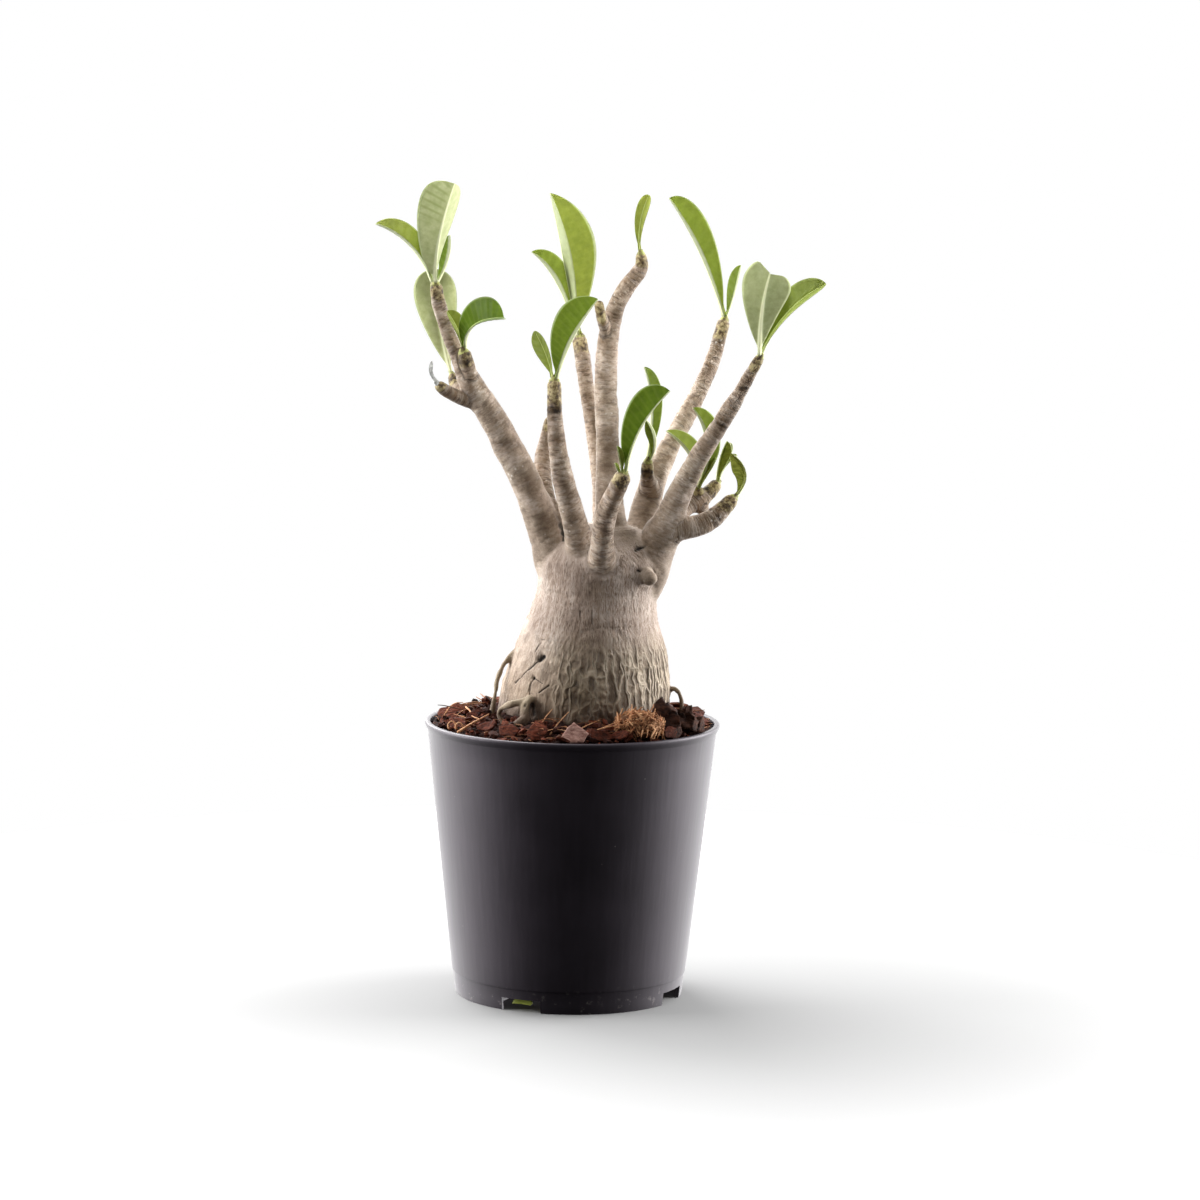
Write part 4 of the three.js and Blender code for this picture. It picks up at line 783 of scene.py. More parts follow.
def glowing_paper_sweep():
    """Seamless white paper: matt, and glowing with a painted light that burns it out to white away from the
    pot, so that only the shadow shows, partly cast by the lamps and partly painted where the glow is weak.
    """
    finish, tree, surface = new_finish("glowing_paper_sweep", 0.95, 1.45)
    surface.inputs["Base Color"].default_value = colour("#a4a4a4")
    surface.inputs["Specular IOR Level"].default_value = 0.0
    surface.inputs["Emission Color"].default_value = (1, 1, 1, 1)
    place = add(tree, "TexCoord", out="Object")
    # Painted shadow: the glow is weakest a little to the right of the pot, so the shadow lies there
    shadow = add(tree, "VectorMath", {0: place, 1: (0.045, 0, 0)}, operation="SUBTRACT")
    away = add(tree, "VectorMath", {0: shadow}, out="Value", operation="LENGTH")
    glow = add(tree, "MapRange", {"Value": away, "From Min": 0.07, "From Max": 0.42, "To Max": 0.55},
               interpolation_type="SMOOTHSTEP")
    # The paper glows, though it is no lamp
    join(tree, glow, surface, "Emission Strength")
    return finish


# Pot


def wall_radius(height):
    """Outside radius of the plain wall: straight from the foot to just under the rim."""
    return BASE_RADIUS + (RIM_RADIUS - LIP - BASE_RADIUS) * height / POT_HEIGHT


def make_pot():
    """The shell is a turned profile, and four boxes cut the drain notches through its foot ring."""
    lip_base = POT_HEIGHT - LIP_HEIGHT
    mouth = RIM_RADIUS - LIP - WALL
    heights = np.linspace(STEP_HEIGHT + 1.2, lip_base - 1, 14)
    profile = [
        (0, FLOOR_UNDERSIDE), (wall_radius(FLOOR_UNDERSIDE) - WALL, FLOOR_UNDERSIDE),
        (wall_radius(0) - WALL, 0.15), (wall_radius(0) - WALL + 0.15, 0), (wall_radius(0) - 0.3, 0),
        (wall_radius(0) - 0.08, 0.09), (wall_radius(0) + 0.03, 0.35), (wall_radius(4), 4),
        (wall_radius(STEP_HEIGHT) - 0.02, STEP_HEIGHT - 0.3), (wall_radius(STEP_HEIGHT) + 0.1, STEP_HEIGHT),
        (wall_radius(STEP_HEIGHT) + STEP - 0.06, STEP_HEIGHT + 0.3),
        (wall_radius(STEP_HEIGHT) + STEP, STEP_HEIGHT + 0.6),
        *[(wall_radius(z) + STEP * (1 - 0.5 * ease(60, lip_base, z)), z) for z in heights],
        (wall_radius(lip_base) + STEP * 0.5, lip_base - 0.7), (RIM_RADIUS - 0.66, lip_base),
        (RIM_RADIUS - 0.34, lip_base + 0.6), (RIM_RADIUS - 0.08, lip_base + 1.2),
        (RIM_RADIUS, POT_HEIGHT - 0.8), (RIM_RADIUS - 0.12, POT_HEIGHT - 0.35),
        (RIM_RADIUS - 0.45, POT_HEIGHT - 0.07), (RIM_RADIUS - 0.9, POT_HEIGHT),
        (mouth + 0.35, POT_HEIGHT - 0.08), (mouth + 0.08, POT_HEIGHT - 0.35), (mouth, POT_HEIGHT - 0.8),
        (wall_radius(60) - WALL, 60),
        (wall_radius(FLOOR_TOP) - WALL, FLOOR_TOP + 0.6), (wall_radius(FLOOR_TOP) - WALL - 0.6, FLOOR_TOP),
        (0, FLOOR_TOP)]
    points, faces = turned(profile, 256)
    pot = new_piece("pot_shell", points, faces, [moulded_polypropylene()])
    across, reach, tall = NOTCH_SIZE
    corners = np.array(list(itertools.product((-across / 2, across / 2),
                                              (-BASE_RADIUS - 3, reach - BASE_RADIUS - 3),
                                              (-tall / 2, tall / 2))))
    sides = np.array([(0, 1, 3, 2), (4, 6, 7, 5), (0, 4, 5, 1), (2, 3, 7, 6), (0, 2, 6, 4), (1, 5, 7, 3)])
    blocks = []
    for quarter in range(4):
        angle = math.radians(NOTCH_TURN + 90 * quarter)
        turn = np.array(Matrix.Rotation(angle, 3, "Z"))
        blocks.append((corners @ turn.T, [sides]))
    cutter = new_piece("notch_cutter", *together(blocks), [])
    cut = pot.modifiers.new("notches", "BOOLEAN")
    cut.operation = "DIFFERENCE"
    cut.object = cutter
    settle(pot)
    bpy.data.objects.remove(cutter)
    pot.data.set_sharp_from_angle(angle=math.radians(40))
    stands(pot, "pot", "pot")


# Soil


def soil_height(x, y):
    """Edge height, a heap against the caudex that fades over 13 mm, and two slow ripples."""
    r = np.hypot(x, y)
    heap = SOIL_HEAP * np.exp(-((np.maximum(r, 34) - 34) / 13) ** 2)
    ripple = np.sin(x * 0.31 + 1.3) * np.cos(y * 0.27) + 0.6 * np.sin(x * 0.13 - y * 0.41)
    return SOIL_EDGE + heap + 0.9 * ripple


def make_soil_bed():
    """A turned bed that fills the pot. Its top follows soil_height, with crumbs of 4, 1.7 and 0.8 mm."""
    clear = 0.3
    flank = [(wall_radius(z) - WALL - clear, z) for z in (FLOOR_TOP + clear, 40, 80, SOIL_EDGE - 2)]
    top_radii = np.concatenate([[6, 16, 24], np.linspace(29, SOIL_REACH - 0.1, 44)])
    profile = [(0, FLOOR_TOP + clear), *flank, *[(r, SOIL_EDGE) for r in top_radii[::-1]], (0, SOIL_EDGE)]
    points, faces = turned(profile, 300)
    top = points[:, 2] > SOIL_EDGE - 1
    x, y = points[top, 0], points[top, 1]
    flat = np.stack([x, y, np.zeros_like(x)], axis=1)
    crumbs = 0.8 * noise(flat / 4, 1) + 0.7 * noise(flat / 1.7, 2) + 0.35 * noise(flat / 0.8, 3)
    points[top, 2] = soil_height(x, y) + crumbs * ease(57.5, 54, np.hypot(x, y)) - 0.4
    values = {"tone": 0.5 + 0.5 * noise(points / 3, 4)}
    stands(new_piece("soil_bed", points, faces, [coir_and_bark_mix()], values=values), "soil", "soil")


def rotations(yaw, pitch, roll):
    """Rotation matrices for arrays of angles: roll about X, then pitch about Y, then yaw about Z."""
    zero, one = np.zeros_like(yaw), np.ones_like(yaw)

    def stack(rows):
        return np.stack([np.stack(row, axis=-1) for row in rows], axis=-2)

    cz, sz, cy, sy, cx, sx = (f(a) for a in (yaw, pitch, roll) for f in (np.cos, np.sin))
    about_z = stack([[cz, -sz, zero], [sz, cz, zero], [zero, zero, one]])
    about_y = stack([[cy, zero, sy], [zero, one, zero], [-sy, zero, cy]])
    about_x = stack([[one, zero, zero], [zero, cx, -sx], [zero, sx, cx]])
    return about_z @ about_y @ about_x


def rotation(turn):
    """One rotation matrix, from yaw, pitch and roll in degrees."""
    return rotations(*(np.array([math.radians(angle)]) for angle in turn))[0]


def chips(draw, at, size, turn, sides=6):
    """Flat angular chips: two rings of uneven points and a low peak above and below, turned into place."""
    count = len(at)
    angle = 2 * math.pi * (np.arange(sides) + 0.55 * draw.random((count, 2, sides))) / sides
    reach = (0.72 + 0.28 * draw.random((count, 2, sides))) / 2
    level = np.array([-0.5, 0.5])[:, None] * np.ones((count, 2, sides))
    level = level + 0.22 * (draw.random((count, 2, sides)) - 0.5)
    rings = np.stack([reach * np.cos(angle), reach * np.sin(angle), level], axis=-1).reshape(count, -1, 3)
    poles = np.tile(np.array([[0.0, 0, -0.6], [0, 0, 0.6]]), (count, 1, 1))
    shape = np.concatenate([rings, poles], axis=1) * size[:, None]
    points = np.einsum("nij,npj->npi", rotations(*turn), shape) + at[:, None]
    walls, peaks = ring_faces(2, sides)
    start = (np.arange(count) * (2 * sides + 2))[:, None, None]
    return points, [(walls + start).reshape(-1, 4), (peaks + start).reshape(-1, 3)]


def inside_pot(points):
    """Pulls points past SOIL_REACH back to it, so that nothing pokes through the pot's wall."""
    far = np.hypot(points[:, 0], points[:, 1])
    points[:, :2] *= np.minimum(1, SOIL_REACH / np.maximum(far, 1e-6))[:, None]
    return points


def ground_spots(draw, count, nearest=36.5, furthest=55.5):
    """Random places on the soil between two radii, closer together towards the caudex."""
    angle = 2 * math.pi * draw.random(count)
    radius = nearest + (furthest - nearest) * draw.random(count)
    x, y = radius * np.cos(angle), radius * np.sin(angle)
    return np.stack([x, y, soil_height(x, y)], axis=1)


def plate(outline, thick, turn, at, seed, rough=0.5, around=72, steps=7):
    """A broken plate. Rings shrink from its outline (x, y about its middle) to a pole on each face. Noise of
    4 and 1.3 mm roughens it, and it is then turned and put in place."""
    outline = np.array(outline, float)
    closed = np.vstack([outline, outline[:1]])
    if (closed[:-1, 0] * closed[1:, 1] - closed[1:, 0] * closed[:-1, 1]).sum() < 0:
        closed = closed[::-1]
    reached = np.concatenate([[0], np.cumsum(np.linalg.norm(np.diff(closed, axis=0), axis=1))])
    spots = np.linspace(0, reached[-1], around, endpoint=False)
    edge = np.stack([np.interp(spots, reached, closed[:, k]) for k in (0, 1)], axis=1)
    inward = np.linspace(0.15, 0.93, steps)
    share = np.concatenate([inward, [1.0, 1.0], inward[::-1]])
    level = np.concatenate([np.full(steps, -0.5), [-0.3, 0.3], np.full(steps, 0.5)]) * thick
    layers = np.repeat(level, around).reshape(-1, around, 1)
    walls = np.concatenate([edge[None] * share[:, None, None], layers], axis=-1)
    points = np.vstack([walls.reshape(-1, 3), [(0, 0, -thick / 2), (0, 0, thick / 2)]])
    push = [noise(points / 4, seed + k) + 0.5 * noise(points / 1.3, seed + 3 + k) for k in range(3)]
    points = points + rough * np.stack(push, axis=1) * (0.6, 0.6, 1)
    return points @ rotation(turn).T + np.array(at), ring_faces(len(share), around)


def round_outline(draw, long, wide, corners=7):
    """An irregular polygon that fits that length and width."""
    angle = 2 * math.pi * (np.arange(corners) + 0.7 * draw.random(corners)) / corners
    reach = (0.7 + 0.3 * draw.random(corners)) / 2
    return np.stack([long * reach * np.cos(angle), wide * reach * np.sin(angle)], axis=1)


# Large sheets of bark on the soil: middle, length and width, yaw, pitch and roll
SHEETS = [
    ((-49, 5, 113.8), (18, 11), (0, -16, 32)), ((-46.5, 19, 113), (14, 9), (20, -10, 24)),
    ((-50, -9, 113.2), (12, 8), (-25, -12, 35)), ((-40, 27, 112.8), (13, 9), (15, 6, 20)),
    ((-41, 9, 114.4), (12, 8), (30, 10, 26)), ((-38, -14, 115.4), (11, 8), (-10, 12, 38)),
    ((-45.5, -23, 113.6), (10, 7), (-30, 4, 34)), ((-14, -46, 114.4), (12, 7), (4, -8, 50)),
    ((-25, -43, 114.4), (11, 8), (-14, 10, 42)), ((-34, -34, 114.6), (10, 7), (-30, -6, 40)),
    ((12, -49, 113.8), (13, 7), (6, 10, 48)), ((19, -48, 114), (9, 6), (-20, -10, 40)),
    ((48, -19, 115), (11, 9), (30, -10, 40)), ((52, -8, 115), (9, 8), (50, 12, 35)),
    ((50.5, 8, 115), (11, 8), (70, -8, 25)), ((40, -41, 114), (10, 7), (20, 12, 40)),
    ((44, 20, 116), (12, 8), (120, 10, 20)),
]

# Loose chips: how many, the shortest length, how much longer the longest is, and the thickness
CHIP_SIZES = [(110, 4.5, 4.5, 1.1), (220, 2.2, 2.6, 0.8), (330, 1.0, 1.4, 0.5)]


def make_soil_chips():
    """Large sheets, and chips of three sizes that lie over each other round the caudex."""
    draw = np.random.default_rng(21)
    parts, tones = [], []
    for k, (at, (long, wide), turn) in enumerate(SHEETS):
        parts.append(plate(round_outline(draw, long, wide), 1.2, turn, at, 40 + 7 * k, 0.45, 48, 5))
        tones.append(np.full(len(parts[-1][0]), 0.35 + 0.4 * draw.random()))
    for count, smallest, spread, thick in CHIP_SIZES:
        at = ground_spots(draw, count)
        longest = smallest + spread * draw.random(count)
        widest = longest * (0.4 + 0.35 * draw.random(count))
        size = np.stack([longest, widest, thick * (0.8 + 0.8 * draw.random(count))], axis=1)
        at[:, 2] += 0.1 * longest + 0.7 * draw.random(count)
        yaw = 2 * math.pi * draw.random(count)
        turn = (yaw, 0.4 * draw.normal(size=count), 0.4 * draw.normal(size=count))
        points, faces = chips(draw, at, size, turn)
        parts.append((points.reshape(-1, 3), faces))
        tones.append(np.repeat(draw.random(count) ** 1.5, points.shape[1]))
    points, faces = together(parts)
    stands(new_piece("soil_chips", inside_pot(points), faces, [composted_bark_chips()],
                     values={"tone": np.concatenate(tones)}, smooth=False), "soil")


def strands(draw, start, heading, length, lift, radius, rings=9):
    """Fibres as Bezier curves: each leaves its start along its heading, rises by lift and wanders aside."""
    across = np.stack([-heading[:, 1], heading[:, 0], np.zeros(len(heading))], axis=1)
    wander = (draw.random((len(start), 2)) - 0.5) * length[:, None] * 0.55
    up = np.array([0, 0, 1.0])
    a = start
    b = start + heading * length[:, None] * 0.35 + across * wander[:, :1] + up * lift[:, None]
    c = start + heading * length[:, None] * 0.7 + across * wander[:, 1:] + up * lift[:, None]
    d = start + heading * length[:, None] + across * wander.sum(axis=1)[:, None] * 0.5
    t = np.linspace(0, 1, rings)[:, None]
    shares = ((1 - t) ** 3, 3 * t * (1 - t) ** 2, 3 * t * t * (1 - t), t ** 3)
    path = sum(share * point[:, None] for share, point in zip(shares, (a, b, c, d)))
    thick = radius[:, None] * (0.35 + 0.65 * np.sqrt(np.sin(math.pi * np.linspace(0.04, 0.96, rings))))
    return np.concatenate([path, thick[..., None]], axis=-1)


# Single rootlets and long fibres that stand out of the soil in the photograph: points, and the radius
ROOTLETS = [
    ([(-13.5, -40, 112.5), (-12.2, -38.5, 116), (-10.6, -37.5, 119), (-7.8, -36.5, 122.4)], 0.3),
    ([(-9, -42, 112), (-6.6, -40, 115.6), (-3.6, -38, 119), (-1.2, -36.8, 121.4)], 0.32),
    ([(-12, -41, 113.4), (-7, -43, 115.2), (-2, -44, 115), (2, -43, 116)], 0.28),
    ([(32, -45, 118.5), (32.3, -45.2, 121), (33.2, -45, 124.4)], 0.32),
    ([(-49.2, -27, 112.2), (-49.6, -26.8, 114), (-48.4, -27, 115.2), (-46.9, -27.4, 114.6),
      (-46.8, -28, 112.8)], 0.5),
    ([(-46.4, -29, 112.4), (-46.3, -28.6, 114.2), (-45, -28.6, 115), (-43.8, -29, 114),
      (-43.8, -29.6, 112.4)], 0.5),
    ([(-45.5, -33.5, 111.8), (-40, -29, 114.8), (-36.5, -25, 116.2), (-33.5, -21, 117.4)], 0.65),
    ([(-43.5, 0, 117), (-41.5, -8, 116.6), (-40.6, -14, 115.6), (-37.2, -22, 115.6)], 0.4),
    ([(-52, -2, 114), (-50, 2, 116.6), (-47.5, 8, 117.4), (-45, 12, 117)], 0.35),
    ([(8, -46, 115), (14, -47, 117), (20, -46, 118), (26, -44, 120)], 0.32),
    ([(11, -44, 115.5), (16, -45, 118), (20, -44.5, 119.4)], 0.28),
    ([(2, -45, 115), (7, -43, 117.4), (11, -42, 119)], 0.3),
]


def make_soil_fibres():
    """Random fibres over the soil, and the rootlets listed above."""
    draw = np.random.default_rng(5)
    count, rings, sides = 170, 18, 6
    start = ground_spots(draw, count, 36, 54)
    start[:, 2] += 0.6 + 0.8 * draw.random(count)
    angle = 2 * math.pi * draw.random(count)
    heading = np.stack([np.cos(angle), np.sin(angle), 0.12 * draw.normal(size=count)], axis=1)
    length = 4 + 9 * draw.random(count)
    lift = 1.2 * draw.random(count)
    radius = 0.1 + 0.14 * draw.random(count)
    paths = strands(draw, start, heading, length, lift, radius, rings)
    listed = []
    for line, thick in ROOTLETS:
        curve, _ = smooth_route([(*point, thick) for point in line], 0.3)
        spots = np.linspace(0, len(curve) - 1, rings)
        drawn = np.stack([np.interp(spots, np.arange(len(curve)), curve[:, k]) for k in range(4)], axis=1)
        drawn[:, 3] *= np.linspace(1, 0.45, rings)
        listed.append(drawn)
    points, faces = tubes(np.concatenate([paths, listed]), sides)
    tones = np.concatenate([0.6 * draw.random(count), np.full(len(listed), 0.8)])
    points[:, 2] = np.maximum(points[:, 2], soil_height(points[:, 0], points[:, 1]) - 1)
    stands(new_piece("soil_fibres", inside_pot(points), faces, [coconut_fibre()],
                     values={"tone": np.repeat(tones, rings * sides + 2)}), "soil")


def lump(size, turn, at, seed, square, rough):
    """A closed lump: a sphere grid pressed towards a block (each coordinate to the power `square`), roughened
    by noise of a third and a ninth of its length, then turned and put in place."""
    rows, columns = 40, 64
    rise = np.linspace(0, math.pi, rows + 1)
    profile = np.stack([np.sin(rise), -np.cos(rise)], axis=1)
    points, faces = turned(profile, columns)
    shape = np.sign(points) * np.abs(points) ** square
    bumps = rough * noise(points * 1.6, seed) + 0.45 * rough * noise(points * 4.5, seed + 1)
    shape *= 1 + bumps[:, None]
    return (shape * np.array(size) / 2) @ rotation(turn).T + np.array(at), faces


def make_coir_tuft():
    """The tuft in front: a mound 18 mm long and 10 mm deep, covered by short fibres, most of them along X."""
    draw = np.random.default_rng(8)
    middle, reach = np.array([27, -42.5, 117]), np.array([9.2, 5, 5.2])
    mound, mound_faces = lump(1.85 * reach, (0, 0, 0), middle, 12, 0.9, 0.3)
    count, rings, sides = 900, 6, 5
    angle, level = 2 * math.pi * draw.random(count), -0.45 + 1.43 * draw.random(count)
    side = np.sqrt(1 - level ** 2)
    spot = np.stack([side * np.cos(angle), side * np.sin(angle), level], axis=1)
    turn = 1.2 * draw.normal(size=count) + math.pi * draw.integers(0, 2, count)
    heading = np.stack([np.cos(turn), 0.5 * np.sin(turn), 0.6 * draw.normal(size=count)], axis=1)
    heading -= 0.8 * (heading * spot).sum(axis=1)[:, None] * spot
    length = 1.6 + 3.4 * draw.random(count)
    lift = 0.5 * draw.random(count)
    radius = 0.16 + 0.2 * draw.random(count)
    paths = strands(draw, middle + spot * reach, heading, length, lift, radius, rings)
    strand, strand_faces = tubes(paths, sides)
    points, faces = together([(mound, mound_faces), (strand, strand_faces)])
    tones = np.repeat(0.3 + 0.7 * draw.random(count), rings * sides + 2)
    tone = np.concatenate([np.full(len(mound), 0.1), tones])
    stands(new_piece("coir_tuft", inside_pot(points), faces, [coconut_fibre()], values={"tone": tone}),
           "coir", "coir_tuft_front")


def make_scraps():
    """The pink-brown flake that leans to the front, the dark chunk at the right and the scrap in a notch."""
    outline = [(-5.1, -2.9), (-2.7, 2), (-0.3, 4.9), (1.5, 3.6), (5.8, 0.7), (3.8, -3.6), (-1.4, -4.6)]
    points, faces = plate(outline, 1.5, (0, 4, 55), (0.9, -51, 114.8), 3, 0.4)
    tone = {"tone": np.full(len(points), 0.95)}
    stands(new_piece("pine_flake", inside_pot(points), faces, [pine_bark_flake()], values=tone),
           "bark_flake", "bark_flake_front")
    peak = [(-6.5, -1), (-6, 2.6), (-5, 5.9), (-2, 9.1), (-0.6, 6.6), (0.6, 7.4), (1.9, 5.2), (3.3, 3.4),
            (5, 0), (6, -4), (2, -7), (-4, -6)]
    shoulder = [(-3.6, 1), (-2.6, 3.4), (-1, 2.2), (0.4, 4.4), (2.9, 5), (2.7, 1.4), (5, -1.2), (4, -5),
                (-3, -5), (-5, -1)]
    slab = [(-4.5, -3), (-3.6, 1.8), (0.5, 3), (4, 1.4), (4.6, -2.4), (1, -3.6)]
    parts = [
        plate(peak, 6, (-6, 0, 76), (38.2, -31.5, 118), 9, 1.5),
        plate(shoulder, 4.4, (18, 0, 70), (45.6, -27, 118), 15, 1.5),
        plate(slab, 4.4, (30, -8, 40), (49.6, -22.5, 114.6), 22, 1.4),
        plate(slab, 3.6, (-30, 6, 36), (41, -37, 113.8), 28, 1.3),
    ]
    points, faces = together(parts)
    tone = {"tone": 0.5 + 0.45 * noise(points / 3, 33)}
    stands(new_piece("dark_chunk", inside_pot(points), faces, [dark_pine_bark()], values=tone),
           "bark_chunk", "bark_chunk_right")
    torn = [(-4.6, -1.1), (-3.8, 0.9), (0, 1.3), (3.4, 0.9), (4.4, -0.2), (3.6, -1.2), (0, -1)]
    points, faces = plate(torn, 0.5, (-24, 0, 76), (-17.9, -40.6, 3.9), 37, 0.15, 48, 4)
    plain = {"tone": 1.0, "midrib": 3.0, "edge": 0.0, "vein": 0.0, "veining": 0.0}
    values = {key: np.full(len(points), value) for key, value in plain.items()}
    stands(new_piece("fallen_leaf_scrap", points, faces, [waxy_leaf_upper()], values=values), "leaf")


# The plant


def caudex_rings(heights):
    """Centre x, radius across and radius deep at each height: straight steps between the rings of the caudex,
    averaged over 6 mm under a raised cosine."""
    table = np.array(CAUDEX, float)
    fine = np.linspace(table[0, 0], table[-1, 0], 480)
    kernel = np.hanning(25)
    kernel /= kernel.sum()
    columns = []
    for k in (1, 2, 3):
        column = np.interp(fine, table[:, 0], table[:, k])
        padded = np.concatenate([2 * column[0] - column[12:0:-1], column, 2 * column[-1] - column[-2:-14:-1]])
        columns.append(np.interp(heights, fine, np.convolve(padded, kernel, mode="valid")))
    return columns


def near_caudex(points):
    """Signed distance to the caudex: in each point's half plane, the nearest sample of the outline there."""
    heights = np.linspace(CAUDEX[0][0], CAUDEX[-1][0], 200)
    _, across, deep = caudex_rings(heights)
    centre, own_across, own_deep = caudex_rings(points[:, 2])
    x, y = points[:, 0] - centre, points[:, 1]
    r = np.hypot(x, y)
    cos, sin = x / np.maximum(r, 1e-6), y / np.maximum(r, 1e-6)

    def reach(cos, sin, across, deep):
        return 1 / np.sqrt((cos / np.maximum(across, 0.5)) ** 2 + (sin / np.maximum(deep, 0.5)) ** 2)

    outline = reach(cos[:, None], sin[:, None], across, deep)
    gap = np.sqrt(((r[:, None] - outline) ** 2 + (points[:, 2:] - heights) ** 2).min(axis=1))
    own = reach(cos, sin, own_across, own_deep)
    inside = (r < own) & (points[:, 2] > CAUDEX[0][0]) & (points[:, 2] < CAUDEX[-1][0])
    return np.where(inside, -gap, gap)


def near_route(points, samples):
    """Signed distance to a row of spheres, and the number of the nearest one. Points far away get 99."""
    low = (samples[:, :3] - samples[:, 3:]).min(axis=0) - 9
    high = (samples[:, :3] + samples[:, 3:]).max(axis=0) + 9
    chosen = np.all((points > low) & (points < high), axis=1)
    distance = np.full(len(points), 99.0)
    nearest = np.zeros(len(points), int)
    close, centres = points[chosen], samples[:, :3]
    squared = (close ** 2).sum(axis=1)[:, None] + (centres ** 2).sum(axis=1) - 2 * close @ centres.T
    gap = np.sqrt(np.maximum(squared, 0)) - samples[:, 3]
    nearest[chosen] = gap.argmin(axis=1)
    distance[chosen] = gap.min(axis=1)
    return distance, nearest


def blend_size(height):
    """How widely neighbouring forms melt together: little at the roots and twigs, most at the crown."""
    return 0.4 + 0.75 * ease(150, 168, height) * ease(222, 196, height)


def plant_field(points, routes):
    """Soft union of all forms: -k ln(sum of exp(-distance / k)), with k from blend_size."""
    gaps = [near_caudex(points)] + [near_route(points, samples)[0] for samples in routes]
    gaps = np.stack(gaps, axis=1)
    k = blend_size(points[:, 2])
    least = gaps.min(axis=1)
    return least - k * np.log(np.exp(-(gaps - least[:, None]) / k[:, None]).sum(axis=1))


def neighbour_mean(points, edges):
    """Mean of the points that share an edge with each point."""
    count = np.bincount(edges.ravel(), minlength=len(points))
    total = [np.bincount(edges[:, 0], points[edges[:, 1], k], len(points))
             + np.bincount(edges[:, 1], points[edges[:, 0], k], len(points)) for k in range(3)]
    return np.stack(total, axis=1) / np.maximum(count, 1)[:, None]


def mesh_points(mesh):
    """The mesh's points in millimetres from the pot's axis."""
    points = np.empty(len(mesh.vertices) * 3)
    mesh.vertices.foreach_get("co", points)
    return (points.reshape(-1, 3) - POT_AXIS) / MM


def move_points(mesh, points):
    """Puts the mesh's points there, in millimetres from the pot's axis."""
    mesh.vertices.foreach_set("co", (points * MM + POT_AXIS).ravel())
    mesh.update()


def mesh_normals(mesh):
    """The direction that the surface faces at each point."""
    normals = np.empty(len(mesh.vertices) * 3)
    mesh.vertex_normals.foreach_get("vector", normals)
    return normals.reshape(-1, 3)


def crack_depth(points, widened=0.0):
    """Depth of the slits and pits, and the painted shade inside them: each is a rounded trough round its
    line, and at a gap from it exp(-(gap / width)^2) of its full depth."""
    depth = np.zeros(len(points))
    crack_shade_mask = np.zeros(len(points))
    ragged = 1.15 + 0.3 * noise(points / 1.3, 51)
    for line, half_width, deepest, dark in CRACKS:
        line = np.array(line, float)
        for a, b in zip(line, line[1:]):
            span = b - a
            t = np.clip((points - a) @ span / (span @ span), 0, 1)[:, None]
            # Distance in depth counts for a third, because the lines lie on the plain form
            gap = np.linalg.norm((points - a - t * span) * (1, 0.35, 1), axis=1)
            fill = np.exp(-(gap / (half_width * ragged + widened)) ** 2)
            depth = np.maximum(depth, deepest * fill)
            # The painted shade darkens each slit most along its middle
            crack_shade_mask = np.maximum(crack_shade_mask, dark * ease(0.2, 0.85, fill))
    return depth, crack_shade_mask


def refine_near_cracks(mesh, points):
    """Splits the edges round each slit and pit in four, so that it has points enough to be sharp."""
    widened = 2.2
    close = crack_depth(points, widened)[1] > 0
    work = bmesh.new()
    work.from_mesh(mesh)
    work.verts.ensure_lookup_table()
    edges = [edge for edge in work.edges if close[edge.verts[0].index] and close[edge.verts[1].index]]
    bmesh.ops.subdivide_edges(work, edges=edges, cuts=3, use_grid_fill=True, smooth=0.0)
    work.to_mesh(mesh)
    work.free()


def make_living_bark():
    """Caudex, branches and roots are skinned together, drawn onto the soft union of their forms, and then
    given their relief: ring scars, swellings, broad ribs, pinched branch feet, slits and pits."""
    routes, lengths = [], []
    for route in [*BRANCHES.values(), *ROOTS.values()]:
        samples, reached = smooth_route(route, 0.6)
        keep = reached < reached[-1] - 0.5 * samples[-1, 3]
        routes.append(samples[keep])
        lengths.append(reached[keep])
    rings, sides, stem_sides = 60, 64, 16
    heights = np.linspace(CAUDEX[0][0], CAUDEX[-1][0], rings)
    centre, across, deep = caudex_rings(heights)
    points, faces = turned([(0, heights[0] - 1), *[(1, z) for z in heights], (0, heights[-1] + 0.5)], sides)
    walls = slice(0, rings * sides)
    points[walls, 0] = points[walls, 0] * np.repeat(across, sides) + np.repeat(centre, sides)
    points[walls, 1] *= np.repeat(deep, sides)
    points[rings * sides:, 0] = centre[[0, -1]]
    skins = [(points, faces)] + [tubes(samples[None], stem_sides) for samples in routes]
    plant = new_piece("living_bark", *together(skins), [living_adenium_bark()])
    skin = plant.modifiers.new("skin", "REMESH")
    skin.mode = "VOXEL"
    skin.voxel_size = BARK_CELL * MM
    settle(plant)
    mesh = plant.data
    edges = np.empty(len(mesh.edges) * 2, np.int32)
    mesh.edges.foreach_get("vertices", edges)
    edges = edges.reshape(-1, 2)
    points = mesh_points(mesh)
    for _ in range(5):
        points += 0.5 * (neighbour_mean(points, edges) - points)
        move_points(mesh, points)
        points -= np.clip(plant_field(points, routes), -1, 1)[:, None] * mesh_normals(mesh)
    move_points(mesh, points)
    refine_near_cracks(mesh, points)
    give_relief(mesh, mesh_points(mesh), routes, lengths)
    # The flattest places give up points first, so the relief and the slits keep theirs
    thinning = plant.modifiers.new("thinning", "DECIMATE")
    thinning.ratio = min(1, MOST_TRIANGLES / (len(mesh.loops) - 2 * len(mesh.polygons)))
    settle(plant)
    plant.data.polygons.foreach_set("use_smooth", np.ones(len(plant.data.polygons), bool))
    stands(plant, "bark", "caudex_and_branches")


